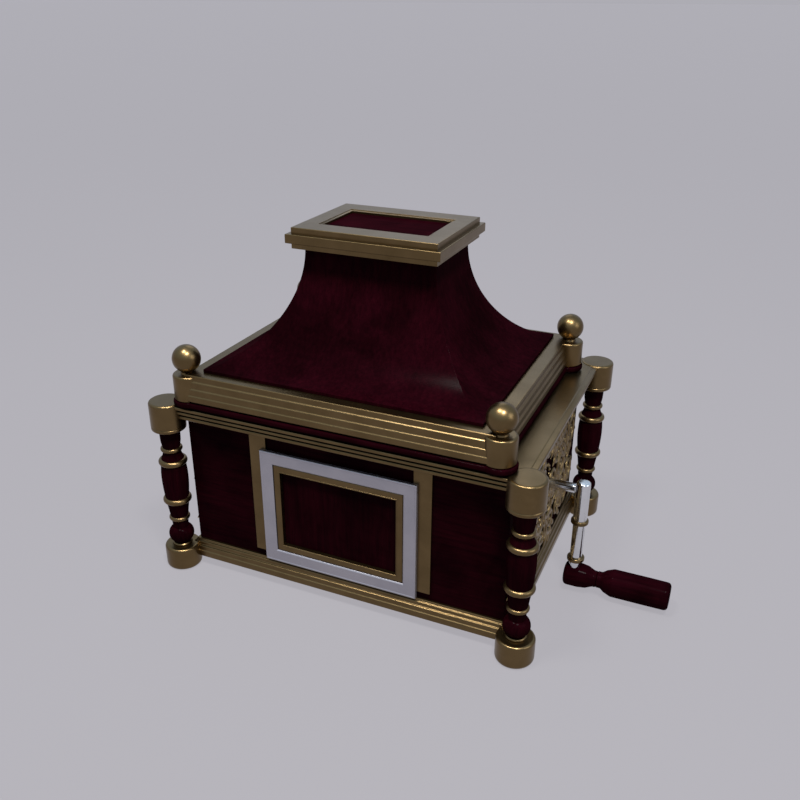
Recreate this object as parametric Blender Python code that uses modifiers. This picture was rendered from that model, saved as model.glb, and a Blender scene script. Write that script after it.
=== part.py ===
# A small cranked barrel piano in a lacquered case: four turned columns carry a box with brass mouldings,
# a hinged lid with a flared roof, and a crank that turns a pinned barrel under sprung hammers and strings.
# Everything is built about the middle of the case; one root empty then centres the whole object.
import math

import bmesh
import bpy
from mathutils import Vector

# Driving sizes, in metres.
COLUMN_SPAN_X = 0.3800
COLUMN_SPAN_Y = 0.2853
GAP = 0.0003

FOOT_RADIUS = 0.0190
FOOT_HEIGHT = 0.0260
COLUMN_HEIGHT = 0.1397
CAP_RADIUS = 0.0180
CAP_HEIGHT = 0.0322
EDGE_ROUND = 0.0020

WALL = 0.0080
CASE_INSET_X = 0.0160
CASE_INSET_Y = 0.0116
FLOOR_HEIGHT = 0.0105
BOARD_THICKNESS = 0.0080
BASE_MOULDING_HEIGHT = 0.0193
BASE_MOULDING_REACH = 0.0085
TOP_MOULDING_HEIGHT = 0.0160
TOP_MOULDING_DROP = 0.0010
TOP_MOULDING_REACH = 0.0198
TOP_MOULDING_LEDGE = 0.0060

STRIP_WIDTH = 0.0190
STRIP_OFFSET = 0.0895
STRIP_THICKNESS = 0.0027
STRIP_CLEARANCE = 0.0080
FRAME_CLEARANCE = 0.0013
FRAME_WIDTH = 0.1706
FRAME_HEIGHT = 0.1297
FRAME_BORDER = 0.0140
FRAME_THICKNESS = 0.0040
INNER_BORDER = 0.0075
INNER_DEPTH = 0.0062
INNER_SLOPE = 0.0006
PLAQUE_THICKNESS = 0.0012
FRETWORK_LENGTH = 0.1960
FRETWORK_HEIGHT = 0.1300
FRETWORK_THICKNESS = 0.0050

LID_BOARD_OVERHANG_X = 0.0110
LID_BOARD_OVERHANG_Y = 0.0010
LID_BOARD_THICKNESS = 0.0059
LID_BOARD_RIM = 0.0500
LID_INSET_X = 0.0250
LID_INSET_Y = 0.0056
LID_SHIFT = -0.0143
LID_MOULDING_HEIGHT = 0.0286
LID_MOULDING_WIDTH = 0.0250
FINIAL_RADIUS = 0.0153
FINIAL_HEIGHT = 0.0278
FINIAL_BALL = 0.0140
FINIAL_INSET_X = 0.0026
FINIAL_INSET_Y = 0.0138
ROOF_INSET_X = 0.0194
ROOF_INSET_Y = 0.0158
ROOF_HEIGHT = 0.1170
ROOF_LIP = 0.0027
ROOF_WALL = 0.0040
NECK_X = 0.1372
NECK_Y = 0.0886
CAP_REACH_X = 0.0110
CAP_REACH_Y = 0.0183
CAP_SLAB_LOW = 0.0055
CAP_SLAB_MIDDLE = 0.0091
CAP_SLAB_TOP = 0.0061
CAP_SLAB_STEP = 0.0045
CAP_OPENING_X = 0.1100
CAP_OPENING_Y = 0.0662
CAP_POCKET = 0.0035
CAP_PANEL_THICKNESS = 0.0032

HINGE_LENGTH = 0.1200
HINGE_KNUCKLE = 0.0032
HINGE_PIN = 0.0015
HINGE_LEAF = 0.0018
HINGE_STANDOFF = 0.0050
HINGE_LEAF_DEPTH = 0.0160

CRANK_Y = -0.0133
CRANK_HEIGHT = 0.1205
CRANK_THROW = 0.1030
CRANK_STANDOFF = 0.0260
SHAFT_RADIUS = 0.0050
ARM_RADIUS = 0.00725
ARM_TOP = 0.0090
ARM_RING = 0.0018
HUB_RADIUS = 0.0132
NECK_RADIUS = 0.0085
GRIP_RADIUS = 0.0145
GRIP_LENGTH = 0.0740
HUB_LENGTH = 0.0345
SPINDLE_RADIUS = 0.0035

GEAR_MODULE = 0.0020
PINION_TEETH = 12
WHEEL_TEETH = 38
GEAR_WIDTH = 0.0080
TOOTH_DEPTH = 1.20
TOOTH_HEIGHT = 0.75
BARREL_RADIUS = 0.0320
BARREL_PIN = 0.0040
PIN_RADIUS = 0.0012
ARBOR_RADIUS = 0.0040
PLATE_THICKNESS = 0.0080
NOTES = 4
NOTE_SPACING = 0.0560
PINS_PER_NOTE = 5
RAIL_RADIUS = 0.0025
TAIL_LENGTH = 0.0300
TAIL_CLEARANCE = 0.0006
HAMMER_RISE = 0.0500
HAMMER_THICKNESS = 0.0060
STRIKE_GAP = 0.0034
PLANK_THICKNESS = 0.0090
BRIDGE_DEPTH = 0.0090
STRING_RADIUS = 0.0005
SOUND_HOLE = 0.0080
SOUND_PLACES = ((-0.070, 0.065), (-0.070, 0.150), (0.030, 0.052), (0.070, 0.065), (0.070, 0.150))
PIERCING = 0.0105
BUSH_WALL = 0.0032
BUSH_FLANGE_REACH = 0.0040
BOSS_CLEARANCE = 0.0060
HUB_OVERHANG = 0.0030
GEAR_OFFSET = 0.0190
PLATE_OFFSET = 0.0160
PLATE_CLEARANCE = 0.0040
END_CLEARANCE = 0.0030
LID_GAP = 0.0005
SPINDLE_CLEARANCE = 0.0025
SPINDLE_COVER = 0.0120
HEAD_LENGTH = 0.0160
HAMMER_HUB_WALL = 0.0030
BRIDGE_RISE = 0.0280
STRING_DROP = 0.0120
STRING_FOOT = 0.0100

# Places that follow from the sizes above.
COLUMN_X = COLUMN_SPAN_X / 2
COLUMN_Y = COLUMN_SPAN_Y / 2
CASE_X = COLUMN_X - CASE_INSET_X
CASE_Y = COLUMN_Y - CASE_INSET_Y
COLUMN_TOP = FOOT_HEIGHT + COLUMN_HEIGHT
CASE_TOP = COLUMN_TOP + CAP_HEIGHT
LEDGE_TOP = CASE_TOP - TOP_MOULDING_DROP
PANEL_TOP = LEDGE_TOP - TOP_MOULDING_HEIGHT - GAP
BOARD_TOP = FLOOR_HEIGHT + BOARD_THICKNESS
INSIDE_X = CASE_X - WALL
INSIDE_Y = CASE_Y - WALL
LID_X = COLUMN_X - LID_INSET_X
LID_Y = COLUMN_Y - LID_INSET_Y
LID_BASE = CASE_TOP + LID_GAP
LID_BACK = LID_SHIFT + LID_Y
LID_BOARD_TOP = LID_BASE + LID_BOARD_THICKNESS
ROOF_X = LID_X - ROOF_INSET_X
ROOF_Y = LID_Y - ROOF_INSET_Y
ROOF_BASE = LID_BOARD_TOP + LID_MOULDING_HEIGHT + 2 * GAP
ROOF_TOP = ROOF_BASE + ROOF_HEIGHT
HINGE_Y = LID_BACK + HINGE_STANDOFF
HINGE_Z = LEDGE_TOP + 2 * GAP + HINGE_KNUCKLE
ARM_X = COLUMN_X + CRANK_STANDOFF
HANDLE_Z = CRANK_HEIGHT - CRANK_THROW
HUB_START = ARM_X - ARM_RADIUS - HUB_OVERHANG
GRIP_START = HUB_START + HUB_LENGTH + GAP
GRIP_END = GRIP_START + GRIP_LENGTH
GEAR_DISTANCE = GEAR_MODULE * (PINION_TEETH + WHEEL_TEETH) / 2
BARREL_Y = CRANK_Y - GEAR_DISTANCE * math.sqrt(0.5)
BARREL_Z = CRANK_HEIGHT - GEAR_DISTANCE * math.sqrt(0.5)
GEAR_X = INSIDE_X - GEAR_OFFSET
PLATE_RIGHT_X = GEAR_X - GEAR_WIDTH / 2 - PLATE_CLEARANCE - PLATE_THICKNESS / 2
PLATE_LEFT_X = -INSIDE_X + PLATE_OFFSET
BARREL_END = PLATE_RIGHT_X - PLATE_THICKNESS / 2 - END_CLEARANCE
BARREL_START = PLATE_LEFT_X + PLATE_THICKNESS / 2 + END_CLEARANCE
PIVOT_Y = BARREL_Y + BARREL_RADIUS + BARREL_PIN + TAIL_CLEARANCE + TAIL_LENGTH
PIVOT_Z = BARREL_Z
PLANK_FACE = INSIDE_Y - GAP - PLANK_THICKNESS
STRING_Y = PLANK_FACE - BRIDGE_DEPTH - GAP - STRING_RADIUS
STRIKE_Z = PIVOT_Z + HAMMER_RISE
OBJECT_LEFT = -COLUMN_X - FOOT_RADIUS
CENTRE_X = (OBJECT_LEFT + GRIP_END) / 2
BUSH_RADIUS = SHAFT_RADIUS + BUSH_WALL
BUSH_FLANGE = BUSH_RADIUS + BUSH_FLANGE_REACH
BOSS_HOLE = BUSH_RADIUS + BOSS_CLEARANCE
HINGE_BORE = HINGE_PIN + GAP
HUB_OF_HAMMER = RAIL_RADIUS + HAMMER_HUB_WALL

for old in list(bpy.data.objects):
    bpy.data.objects.remove(old, do_unlink=True)

parts = bpy.data.collections.new("barrel_piano")
cutters = bpy.data.collections.new("cutters")
bpy.context.scene.collection.children.link(parts)
bpy.context.scene.collection.children.link(cutters)
cutters.hide_render = True


def material(name, colour, roughness, metallic):
    made = bpy.data.materials.new(name)
    made.use_nodes = True
    shader = made.node_tree.nodes["Principled BSDF"]
    shader.inputs["Base Color"].default_value = (*colour, 1.0)
    shader.inputs["Roughness"].default_value = roughness
    shader.inputs["Metallic"].default_value = metallic
    made.diffuse_color = (*colour, 1.0)
    return made


LACQUER = material("burgundy_lacquer", (0.035, 0.002, 0.006), 0.32, 0.0)
BRASS = material("satin_brass", (0.42, 0.31, 0.13), 0.30, 1.0)
SILVER = material("satin_silver", (0.55, 0.55, 0.57), 0.38, 1.0)
CHROME = material("bright_chrome", (0.80, 0.80, 0.82), 0.08, 1.0)
STEEL = material("plain_steel", (0.50, 0.50, 0.50), 0.35, 1.0)
SPRUCE = material("pale_spruce", (0.52, 0.34, 0.17), 0.55, 0.0)


def empty(name, place, parent=None):
    made = bpy.data.objects.new(name, None)
    parts.objects.link(made)
    made.empty_display_size = 0.02
    made["place"] = list(place)
    made.parent = parent
    start = Vector(parent["place"]) if parent else Vector((0, 0, 0))
    made.location = Vector(place) - start
    return made


root = empty("case_frame", (0.0, 0.0, 0.0))
root.location.x = -CENTRE_X
lid_axis = empty("lid_axis", (0.0, HINGE_Y, HINGE_Z), root)
crank_axis = empty("crank_axis", (ARM_X, CRANK_Y, CRANK_HEIGHT), root)
grip_axis = empty("grip_axis", (GRIP_START, CRANK_Y, HANDLE_Z), crank_axis)
barrel_axis = empty("barrel_axis", (0.0, BARREL_Y, BARREL_Z), root)


def finish(name, data, place, parent, look, turn=(0.0, 0.0, 0.0)):
    """Links the data as an object whose origin is at a place in the case's own frame."""
    made = bpy.data.objects.new(name, data)
    hidden = look is None
    (cutters if hidden else parts).objects.link(made)
    made.parent = parent
    made.location = Vector(place) - Vector(parent["place"])
    made.rotation_euler = turn
    if hidden:
        made.hide_render = True
        made.display_type = "WIRE"
    else:
        data.materials.append(look)
    return made


def mesh_from(bm, name):
    bmesh.ops.recalc_face_normals(bm, faces=bm.faces)
    mesh = bpy.data.meshes.new(name)
    bm.to_mesh(mesh)
    bm.free()
    return mesh


def box(name, low, high, parent, look, bevel=0.0):
    size = Vector(high) - Vector(low)
    bm = bmesh.new()
    bmesh.ops.create_cube(bm, size=1.0)
    bmesh.ops.scale(bm, vec=size, verts=bm.verts)
    made = finish(name, mesh_from(bm, name), (Vector(low) + Vector(high)) / 2, parent, look)
    if bevel:
        rounding = made.modifiers.new("edges", "BEVEL")
        rounding.width = bevel
        rounding.segments = 2
    return made


ALONG_X = (0.0, math.pi / 2, 0.0)


def turned(name, profile, place, parent, look, steps=16, turn=(0.0, 0.0, 0.0), closed=False):
    """Turns a profile of (radius, height) points, given from the top down, about its own Z axis."""
    mesh = bpy.data.meshes.new(name)
    points = [(radius, 0.0, height) for radius, height in profile]
    edges = [(i, i + 1) for i in range(len(points) - 1)]
    if closed:
        edges.append((len(points) - 1, 0))
    mesh.from_pydata(points, edges, [])
    made = finish(name, mesh, place, parent, look, turn)
    screw = made.modifiers.new("turning", "SCREW")
    screw.axis = "Z"
    screw.steps = steps
    screw.render_steps = steps
    screw.use_merge_vertices = True
    screw.merge_threshold = 0.00001
    screw.use_smooth_shade = True
    return made


def rod(radius, top, bottom):
    return [(0.0, top), (radius, top), (radius, bottom), (0.0, bottom)]


def arc(centre_r, centre_z, radius, first, last, count):
    """Points on an arc, with angles in degrees from straight outwards towards up."""
    points = []
    for i in range(count):
        angle = math.radians(first + (last - first) * i / (count - 1))
        points.append((centre_r + radius * math.cos(angle), centre_z + radius * math.sin(angle)))
    return points


def drum(radius, top, bottom, edge):
    return (
        [(0.0, top)]
        + arc(radius - edge, top - edge, edge, 90, 0, 2)
        + arc(radius - edge, bottom + edge, edge, 0, -90, 2)
        + [(0.0, bottom)]
    )


def swept(name, half, profile, place, parent, look, upright=False):
    """Sweeps a closed profile of (outward offset, depth) points round a rectangle, with mitred corners.
    A point may give an offset of its own for each pair of sides."""
    bm = bmesh.new()
    rings = []
    for sign_x, sign_y in ((1, 1), (-1, 1), (-1, -1), (1, -1)):
        ring = []
        for *offset, depth in profile:
            across, along = sign_x * (half[0] + offset[0]), sign_y * (half[1] + offset[-1])
            ring.append(bm.verts.new((across, depth, along) if upright else (across, along, depth)))
        rings.append(ring)
    count = len(profile)
    for corner in range(4):
        here, there = rings[corner], rings[(corner + 1) % 4]
        for i in range(count):
            j = (i + 1) % count
            bm.faces.new((here[i], here[j], there[j], there[i]))
    return finish(name, mesh_from(bm, name), place, parent, look)


def cut(target, *tools):
    for tool in tools:
        boolean = target.modifiers.new("cut_" + tool.name[:20], "BOOLEAN")
        boolean.operation = "DIFFERENCE"
        boolean.object = tool


def join(target, *tools):
    for tool in tools:
        boolean = target.modifiers.new("join_" + tool.name[:20], "BOOLEAN")
        boolean.operation = "UNION"
        boolean.object = tool


def flat(name, outlines, thickness, place, parent, look, turn=(0.0, 0.0, 0.0)):
    """Gives closed outlines of (x, y) points a thickness; an outline inside another is a hole."""
    curve = bpy.data.curves.new(name, "CURVE")
    curve.dimensions = "2D"
    curve.fill_mode = "BOTH"
    curve.extrude = thickness / 2
    for outline in outlines:
        spline = curve.splines.new("POLY")
        spline.points.add(len(outline) - 1)
        for point, (x, y) in zip(spline.points, outline):
            point.co = (x, y, 0.0, 1.0)
        spline.use_cyclic_u = True
    return finish(name, curve, place, parent, look, turn)


def circle(x, y, radius, count):
    return [
        (x + radius * math.cos(math.tau * i / count), y + radius * math.sin(math.tau * i / count))
        for i in range(count)
    ]


CORNERS = {
    "front_left": (-1, -1),
    "front_right": (1, -1),
    "back_left": (-1, 1),
    "back_right": (1, 1),
}


# Corner columns, with their brass feet and caps.
def ring_bump(height, outer, minor):
    return arc(outer - minor, height, minor, 72, -72, 3)


def column_profile():
    scale = COLUMN_HEIGHT / 0.1397

    def at(height):
        return FOOT_HEIGHT + (height - 0.026) * scale

    points = [(0.0, COLUMN_TOP - GAP), (0.0085, COLUMN_TOP - GAP), (0.0082, at(0.150))]
    points += ring_bump(at(0.1425), 0.0104, 0.0021)
    points += [(0.0090, at(0.1385)), (0.0108, at(0.1318))]
    points += ring_bump(at(0.1280), 0.0151, 0.0026)
    points += [(0.0134, at(0.1225)), (0.0139, at(0.1100)), (0.0134, at(0.0980)), (0.0124, at(0.0865))]
    points += ring_bump(at(0.0820), 0.0151, 0.0026)
    points += [(0.0110, at(0.0770)), (0.0090, at(0.0640))]
    points += ring_bump(at(0.0590), 0.0106, 0.0021)
    points += [(0.0068, at(0.0545)), (0.0066, at(0.0500))]
    for i in range(1, 6):
        angle = math.radians(90 - 180 * i / 6)
        points.append((0.0060 + 0.0071 * math.cos(angle), at(0.0405) + 0.0080 * math.sin(angle)))
    points += [(0.0080, at(0.0320)), (0.0080, FOOT_HEIGHT + GAP), (0.0, FOOT_HEIGHT + GAP)]
    return points


for corner, (side_x, side_y) in CORNERS.items():
    place = (side_x * COLUMN_X, side_y * COLUMN_Y, 0.0)
    turned("column_" + corner, column_profile(), place, root, LACQUER, steps=12)
    foot = drum(FOOT_RADIUS, FOOT_HEIGHT, 0.0, EDGE_ROUND)
    turned("foot_" + corner, foot, place, root, BRASS, steps=16)
    cap = drum(CAP_RADIUS, CASE_TOP, COLUMN_TOP, EDGE_ROUND)
    turned("cap_" + corner, cap, place, root, BRASS, steps=16)


def corner_cutters(name, radius, half_x, half_y, low, high, parent, shift=0.0):
    made = []
    for corner, (side_x, side_y) in CORNERS.items():
        place = (side_x * half_x, shift + side_y * half_y, 0.0)
        made.append(turned(name + "_" + corner, rod(radius, high, low), place, parent, None, steps=16))
    return made


# The case: floor, four walls and the two mouldings.
box(
    "bottom_board",
    (-INSIDE_X + GAP, -INSIDE_Y + GAP, FLOOR_HEIGHT),
    (INSIDE_X - GAP, INSIDE_Y - GAP, BOARD_TOP),
    root,
    LACQUER,
)
front_panel = box(
    "front_panel", (-CASE_X, -CASE_Y, FLOOR_HEIGHT), (CASE_X, -INSIDE_Y, PANEL_TOP), root, LACQUER
)
back_panel = box(
    "back_panel", (-CASE_X, INSIDE_Y, FLOOR_HEIGHT), (CASE_X, CASE_Y, PANEL_TOP), root, LACQUER
)
cap_room = corner_cutters(
    "cap_room", CAP_RADIUS + GAP, COLUMN_X, COLUMN_Y, COLUMN_TOP, CASE_TOP + 0.01, root
)
cut(front_panel, *cap_room)
cut(back_panel, *cap_room)
side_panels = {}
for side, sign in (("left", -1), ("right", 1)):
    panel = box(
        side + "_panel",
        (min(sign * CASE_X, sign * INSIDE_X), -INSIDE_Y + GAP, FLOOR_HEIGHT),
        (max(sign * CASE_X, sign * INSIDE_X), INSIDE_Y - GAP, PANEL_TOP),
        root,
        LACQUER,
    )
    side_panels[side] = panel
    middle = sign * (CASE_X + INSIDE_X) / 2
    for number, (hole_y, hole_z) in enumerate(SOUND_PLACES):
        name = f"{side}_sound_cut_{number}"
        place = (middle, hole_y, hole_z)
        cut(panel, turned(name, rod(SOUND_HOLE, WALL, -WALL), place, root, None, 10, ALONG_X))
    socket = rod(RAIL_RADIUS + GAP, WALL / 2, -WALL / 2)
    place = (sign * INSIDE_X, PIVOT_Y, PIVOT_Z)
    cut(panel, turned(side + "_rail_socket", socket, place, root, None, 12, ALONG_X))

bush_hole = rod(BUSH_RADIUS + GAP, WALL, -WALL)
bush_cut = turned(
    "bush_cut",
    bush_hole,
    ((CASE_X + INSIDE_X) / 2, CRANK_Y, CRANK_HEIGHT),
    root,
    None,
    20,
    ALONG_X,
)
cut(side_panels["right"], bush_cut)

base_steps = [
    (GAP, 0.0),
    (BASE_MOULDING_REACH, 0.0),
    (BASE_MOULDING_REACH, BASE_MOULDING_HEIGHT * 0.50),
    (BASE_MOULDING_REACH * 0.70, BASE_MOULDING_HEIGHT * 0.56),
    (BASE_MOULDING_REACH * 0.70, BASE_MOULDING_HEIGHT * 0.78),
    (BASE_MOULDING_REACH * 0.40, BASE_MOULDING_HEIGHT * 0.80),
    (BASE_MOULDING_REACH * 0.40, BASE_MOULDING_HEIGHT),
    (GAP, BASE_MOULDING_HEIGHT),
]
base_moulding = swept(
    "case_base_moulding", (CASE_X, CASE_Y), base_steps, (0.0, 0.0, FLOOR_HEIGHT), root, BRASS
)
cut(
    base_moulding,
    *corner_cutters("foot_cut", FOOT_RADIUS + GAP, COLUMN_X, COLUMN_Y, -0.01, FOOT_HEIGHT * 2, root),
)

top_steps = [
    (-WALL - TOP_MOULDING_LEDGE, 0.0),
    (TOP_MOULDING_REACH * 0.25, 0.0),
    (TOP_MOULDING_REACH * 0.45, TOP_MOULDING_HEIGHT * 0.22),
    (TOP_MOULDING_REACH * 0.70, TOP_MOULDING_HEIGHT * 0.26),
    (TOP_MOULDING_REACH * 0.75, TOP_MOULDING_HEIGHT * 0.50),
    (TOP_MOULDING_REACH, TOP_MOULDING_HEIGHT * 0.54),
    (TOP_MOULDING_REACH, TOP_MOULDING_HEIGHT),
    (-WALL - TOP_MOULDING_LEDGE, TOP_MOULDING_HEIGHT),
]
top_moulding = swept(
    "case_top_moulding",
    (CASE_X, CASE_Y),
    top_steps,
    (0.0, 0.0, LEDGE_TOP - TOP_MOULDING_HEIGHT),
    root,
    BRASS,
)
cut(
    top_moulding,
    *corner_cutters("cap_cut", CAP_RADIUS + GAP, COLUMN_X, COLUMN_Y, COLUMN_TOP, CASE_TOP + 0.01, root),
)

# The front dressing: two strips, then a silver frame, a brass frame and a sunk panel.
STRIP_LOW = FLOOR_HEIGHT + BASE_MOULDING_HEIGHT + STRIP_CLEARANCE
for side, sign in (("left", -1), ("right", 1)):
    middle = sign * STRIP_OFFSET
    box(
        "front_strip_" + side,
        (middle - STRIP_WIDTH / 2, -CASE_Y - GAP - STRIP_THICKNESS, STRIP_LOW),
        (middle + STRIP_WIDTH / 2, -CASE_Y - GAP, PANEL_TOP),
        root,
        BRASS,
    )
FRAME_BACK = -CASE_Y - STRIP_THICKNESS - 2 * GAP
FRAME_LOW = FLOOR_HEIGHT + BASE_MOULDING_HEIGHT + FRAME_CLEARANCE
FRAME_MIDDLE = FRAME_LOW + FRAME_HEIGHT / 2
frame_half = (FRAME_WIDTH / 2, FRAME_HEIGHT / 2)
inner_half = (frame_half[0] - FRAME_BORDER - GAP, frame_half[1] - FRAME_BORDER - GAP)
panel_half = (inner_half[0] - INNER_BORDER - GAP, inner_half[1] - INNER_BORDER - GAP)
frame_section = [
    (-FRAME_BORDER, 0.0),
    (0.0, 0.0),
    (0.0, -FRAME_THICKNESS),
    (-FRAME_BORDER, -FRAME_THICKNESS),
]
swept("silver_frame", frame_half, frame_section, (0.0, FRAME_BACK, FRAME_MIDDLE), root, SILVER, True)
CASE_FACE = -CASE_Y - GAP
inner_section = [
    (-INNER_BORDER, 0.0),
    (0.0, 0.0),
    (0.0, -INNER_DEPTH),
    (-INNER_BORDER, -INNER_DEPTH + INNER_SLOPE),
]
swept("brass_frame", inner_half, inner_section, (0.0, CASE_FACE, FRAME_MIDDLE), root, BRASS, True)
box(
    "plaque_panel",
    (-panel_half[0], CASE_FACE - PLAQUE_THICKNESS, FRAME_MIDDLE - panel_half[1]),
    (panel_half[0], CASE_FACE, FRAME_MIDDLE + panel_half[1]),
    root,
    LACQUER,
)


# Pierced scroll panels on both ends of the case.
def fretwork_outline(count=48):
    """A rounded rectangle whose edge runs in and out in shallow lobes."""
    points = []
    for i in range(count):
        angle = math.tau * i / count
        across, along = math.cos(angle), math.sin(angle)
        reach = (abs(across) ** 5 + abs(along) ** 5) ** -0.2
        reach *= 1.0 - 0.018 * (1.0 - math.cos(16 * angle))
        points.append((reach * across * FRETWORK_LENGTH / 2, reach * along * FRETWORK_HEIGHT / 2))
    return points


FRETWORK_MIDDLE = (FLOOR_HEIGHT + BASE_MOULDING_HEIGHT + PANEL_TOP) / 2
for side, sign in (("left", -1), ("right", 1)):
    outlines = [fretwork_outline()]
    crank_hole = (CRANK_Y, CRANK_HEIGHT - FRETWORK_MIDDLE)
    if side == "right":
        outlines.append(circle(*crank_hole, BOSS_HOLE, 20))
    for column in range(-2, 3):
        for row in (-1, 0, 1):
            spot = (column * FRETWORK_LENGTH / 6.2, row * FRETWORK_HEIGHT / 3.9)
            clear = math.dist(spot, crank_hole) > BOSS_HOLE + PIERCING + 0.002
            if side == "left" or clear:
                outlines.append(circle(*spot, PIERCING, 8))
    place = (sign * (CASE_X + GAP + FRETWORK_THICKNESS / 2), 0.0, FRETWORK_MIDDLE)
    turn = (math.pi / 2, 0.0, math.pi / 2)
    flat(side + "_fretwork", outlines, FRETWORK_THICKNESS, place, root, BRASS, turn)

# The lid: board, moulding, corner finials, flared roof and its stepped cap.
lid_board_half = (LID_X + LID_BOARD_OVERHANG_X, LID_Y + LID_BOARD_OVERHANG_Y)
lid_board = box(
    "lid_board",
    (-lid_board_half[0], LID_SHIFT - lid_board_half[1], LID_BASE),
    (lid_board_half[0], LID_SHIFT + lid_board_half[1], LID_BOARD_TOP),
    lid_axis,
    LACQUER,
)
board_opening_half = (lid_board_half[0] - LID_BOARD_RIM, lid_board_half[1] - LID_BOARD_RIM)
board_opening = box(
    "board_opening_cut",
    (-board_opening_half[0], LID_SHIFT - board_opening_half[1], LID_BASE - 0.01),
    (board_opening_half[0], LID_SHIFT + board_opening_half[1], LID_BOARD_TOP + 0.01),
    lid_axis,
    None,
)
cut(lid_board, board_opening)

lid_steps = [
    (-LID_MOULDING_WIDTH, 0.0),
    (-0.0032, 0.0),
    (0.0, LID_MOULDING_HEIGHT * 0.05),
    (0.0, LID_MOULDING_HEIGHT * 0.26),
    (-0.0015, LID_MOULDING_HEIGHT * 0.30),
    (-0.0015, LID_MOULDING_HEIGHT * 0.52),
    (-0.0030, LID_MOULDING_HEIGHT * 0.56),
    (-0.0030, LID_MOULDING_HEIGHT * 0.78),
    (-0.0045, LID_MOULDING_HEIGHT * 0.82),
    (-0.0045, LID_MOULDING_HEIGHT),
    (-LID_MOULDING_WIDTH, LID_MOULDING_HEIGHT),
]
lid_moulding = swept(
    "lid_moulding", (LID_X, LID_Y), lid_steps, (0.0, LID_SHIFT, LID_BOARD_TOP + GAP), lid_axis, BRASS
)
FINIAL_X = LID_X - FINIAL_INSET_X
FINIAL_Y = LID_Y - FINIAL_INSET_Y
FINIAL_TOP = LID_BOARD_TOP + GAP + FINIAL_HEIGHT
cut(
    lid_moulding,
    *corner_cutters(
        "finial_cut",
        FINIAL_RADIUS + GAP,
        FINIAL_X,
        FINIAL_Y,
        LID_BOARD_TOP - 0.01,
        FINIAL_TOP + 0.03,
        lid_axis,
        LID_SHIFT,
    ),
)
finial = [(0.0, FINIAL_TOP + 2 * FINIAL_BALL)]
finial += arc(0.0, FINIAL_TOP + FINIAL_BALL, FINIAL_BALL, 66, -66, 6)
finial += arc(FINIAL_RADIUS - EDGE_ROUND, FINIAL_TOP - EDGE_ROUND, EDGE_ROUND, 90, 0, 2)
finial += [(FINIAL_RADIUS, LID_BOARD_TOP + GAP), (0.0, LID_BOARD_TOP + GAP)]
for corner, (side_x, side_y) in CORNERS.items():
    place = (side_x * FINIAL_X, LID_SHIFT + side_y * FINIAL_Y, 0.0)
    turned("finial_" + corner, finial, place, lid_axis, BRASS, steps=14)


def roof_section(share):
    """Half sizes and height of the roof's outside, from the lip (0) to the neck (1)."""
    angle = share * math.pi / 2
    inward = math.sin(angle) ** 1.15
    rise = (1.0 - math.cos(angle)) ** 0.92
    half_x = ROOF_X + (NECK_X / 2 - ROOF_X) * inward
    half_y = ROOF_Y + (NECK_Y / 2 - ROOF_Y) * inward
    return half_x, half_y, ROOF_LIP + (ROOF_HEIGHT - ROOF_LIP) * rise


def roof_shell(name, rows=12):
    outside = [(ROOF_X, ROOF_Y, 0.0)] + [roof_section(i / rows) for i in range(rows + 1)]
    inside = []
    for half_x, half_y, height in outside[1:]:
        low = max(0.0, height - ROOF_LIP)
        inside.append((half_x - ROOF_WALL, half_y - ROOF_WALL, low))
    inside[-1] = (inside[-1][0], inside[-1][1], ROOF_HEIGHT)
    sections = outside + inside[::-1]
    bm = bmesh.new()
    rings = []
    for half_x, half_y, height in sections:
        corners = ((1, 1), (-1, 1), (-1, -1), (1, -1))
        rings.append([bm.verts.new((sx * half_x, sy * half_y, height)) for sx, sy in corners])
    for i, ring in enumerate(rings):
        after = rings[(i + 1) % len(rings)]
        for side in range(4):
            other = (side + 1) % 4
            bm.faces.new((ring[side], ring[other], after[other], after[side]))
    return finish(name, mesh_from(bm, name), (0.0, LID_SHIFT, ROOF_BASE), lid_axis, LACQUER)


roof_shell("roof_shell")

CAP_BASE = ROOF_TOP + GAP
CAP_HALF = (NECK_X / 2 + CAP_REACH_X, NECK_Y / 2 + CAP_REACH_Y)
opening = (CAP_OPENING_X / 2 - CAP_HALF[0], CAP_OPENING_Y / 2 - CAP_HALF[1])
slab_two = CAP_SLAB_LOW + CAP_SLAB_MIDDLE
slab_three = slab_two + CAP_SLAB_TOP
cap_steps = [
    (*opening, 0.0),
    (-CAP_SLAB_STEP, 0.0),
    (-CAP_SLAB_STEP, CAP_SLAB_LOW),
    (0.0, CAP_SLAB_LOW),
    (0.0, slab_two),
    (-CAP_SLAB_STEP, slab_two),
    (-CAP_SLAB_STEP, slab_three),
    (*opening, slab_three),
]
swept("roof_cap", CAP_HALF, cap_steps, (0.0, LID_SHIFT, CAP_BASE), lid_axis, BRASS)
cap_panel_top = CAP_BASE + slab_three - CAP_POCKET
box(
    "roof_cap_panel",
    (-CAP_OPENING_X / 2 + GAP, LID_SHIFT - CAP_OPENING_Y / 2 + GAP, cap_panel_top - CAP_PANEL_THICKNESS),
    (CAP_OPENING_X / 2 - GAP, LID_SHIFT + CAP_OPENING_Y / 2 - GAP, cap_panel_top),
    lid_axis,
    LACQUER,
)

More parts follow.
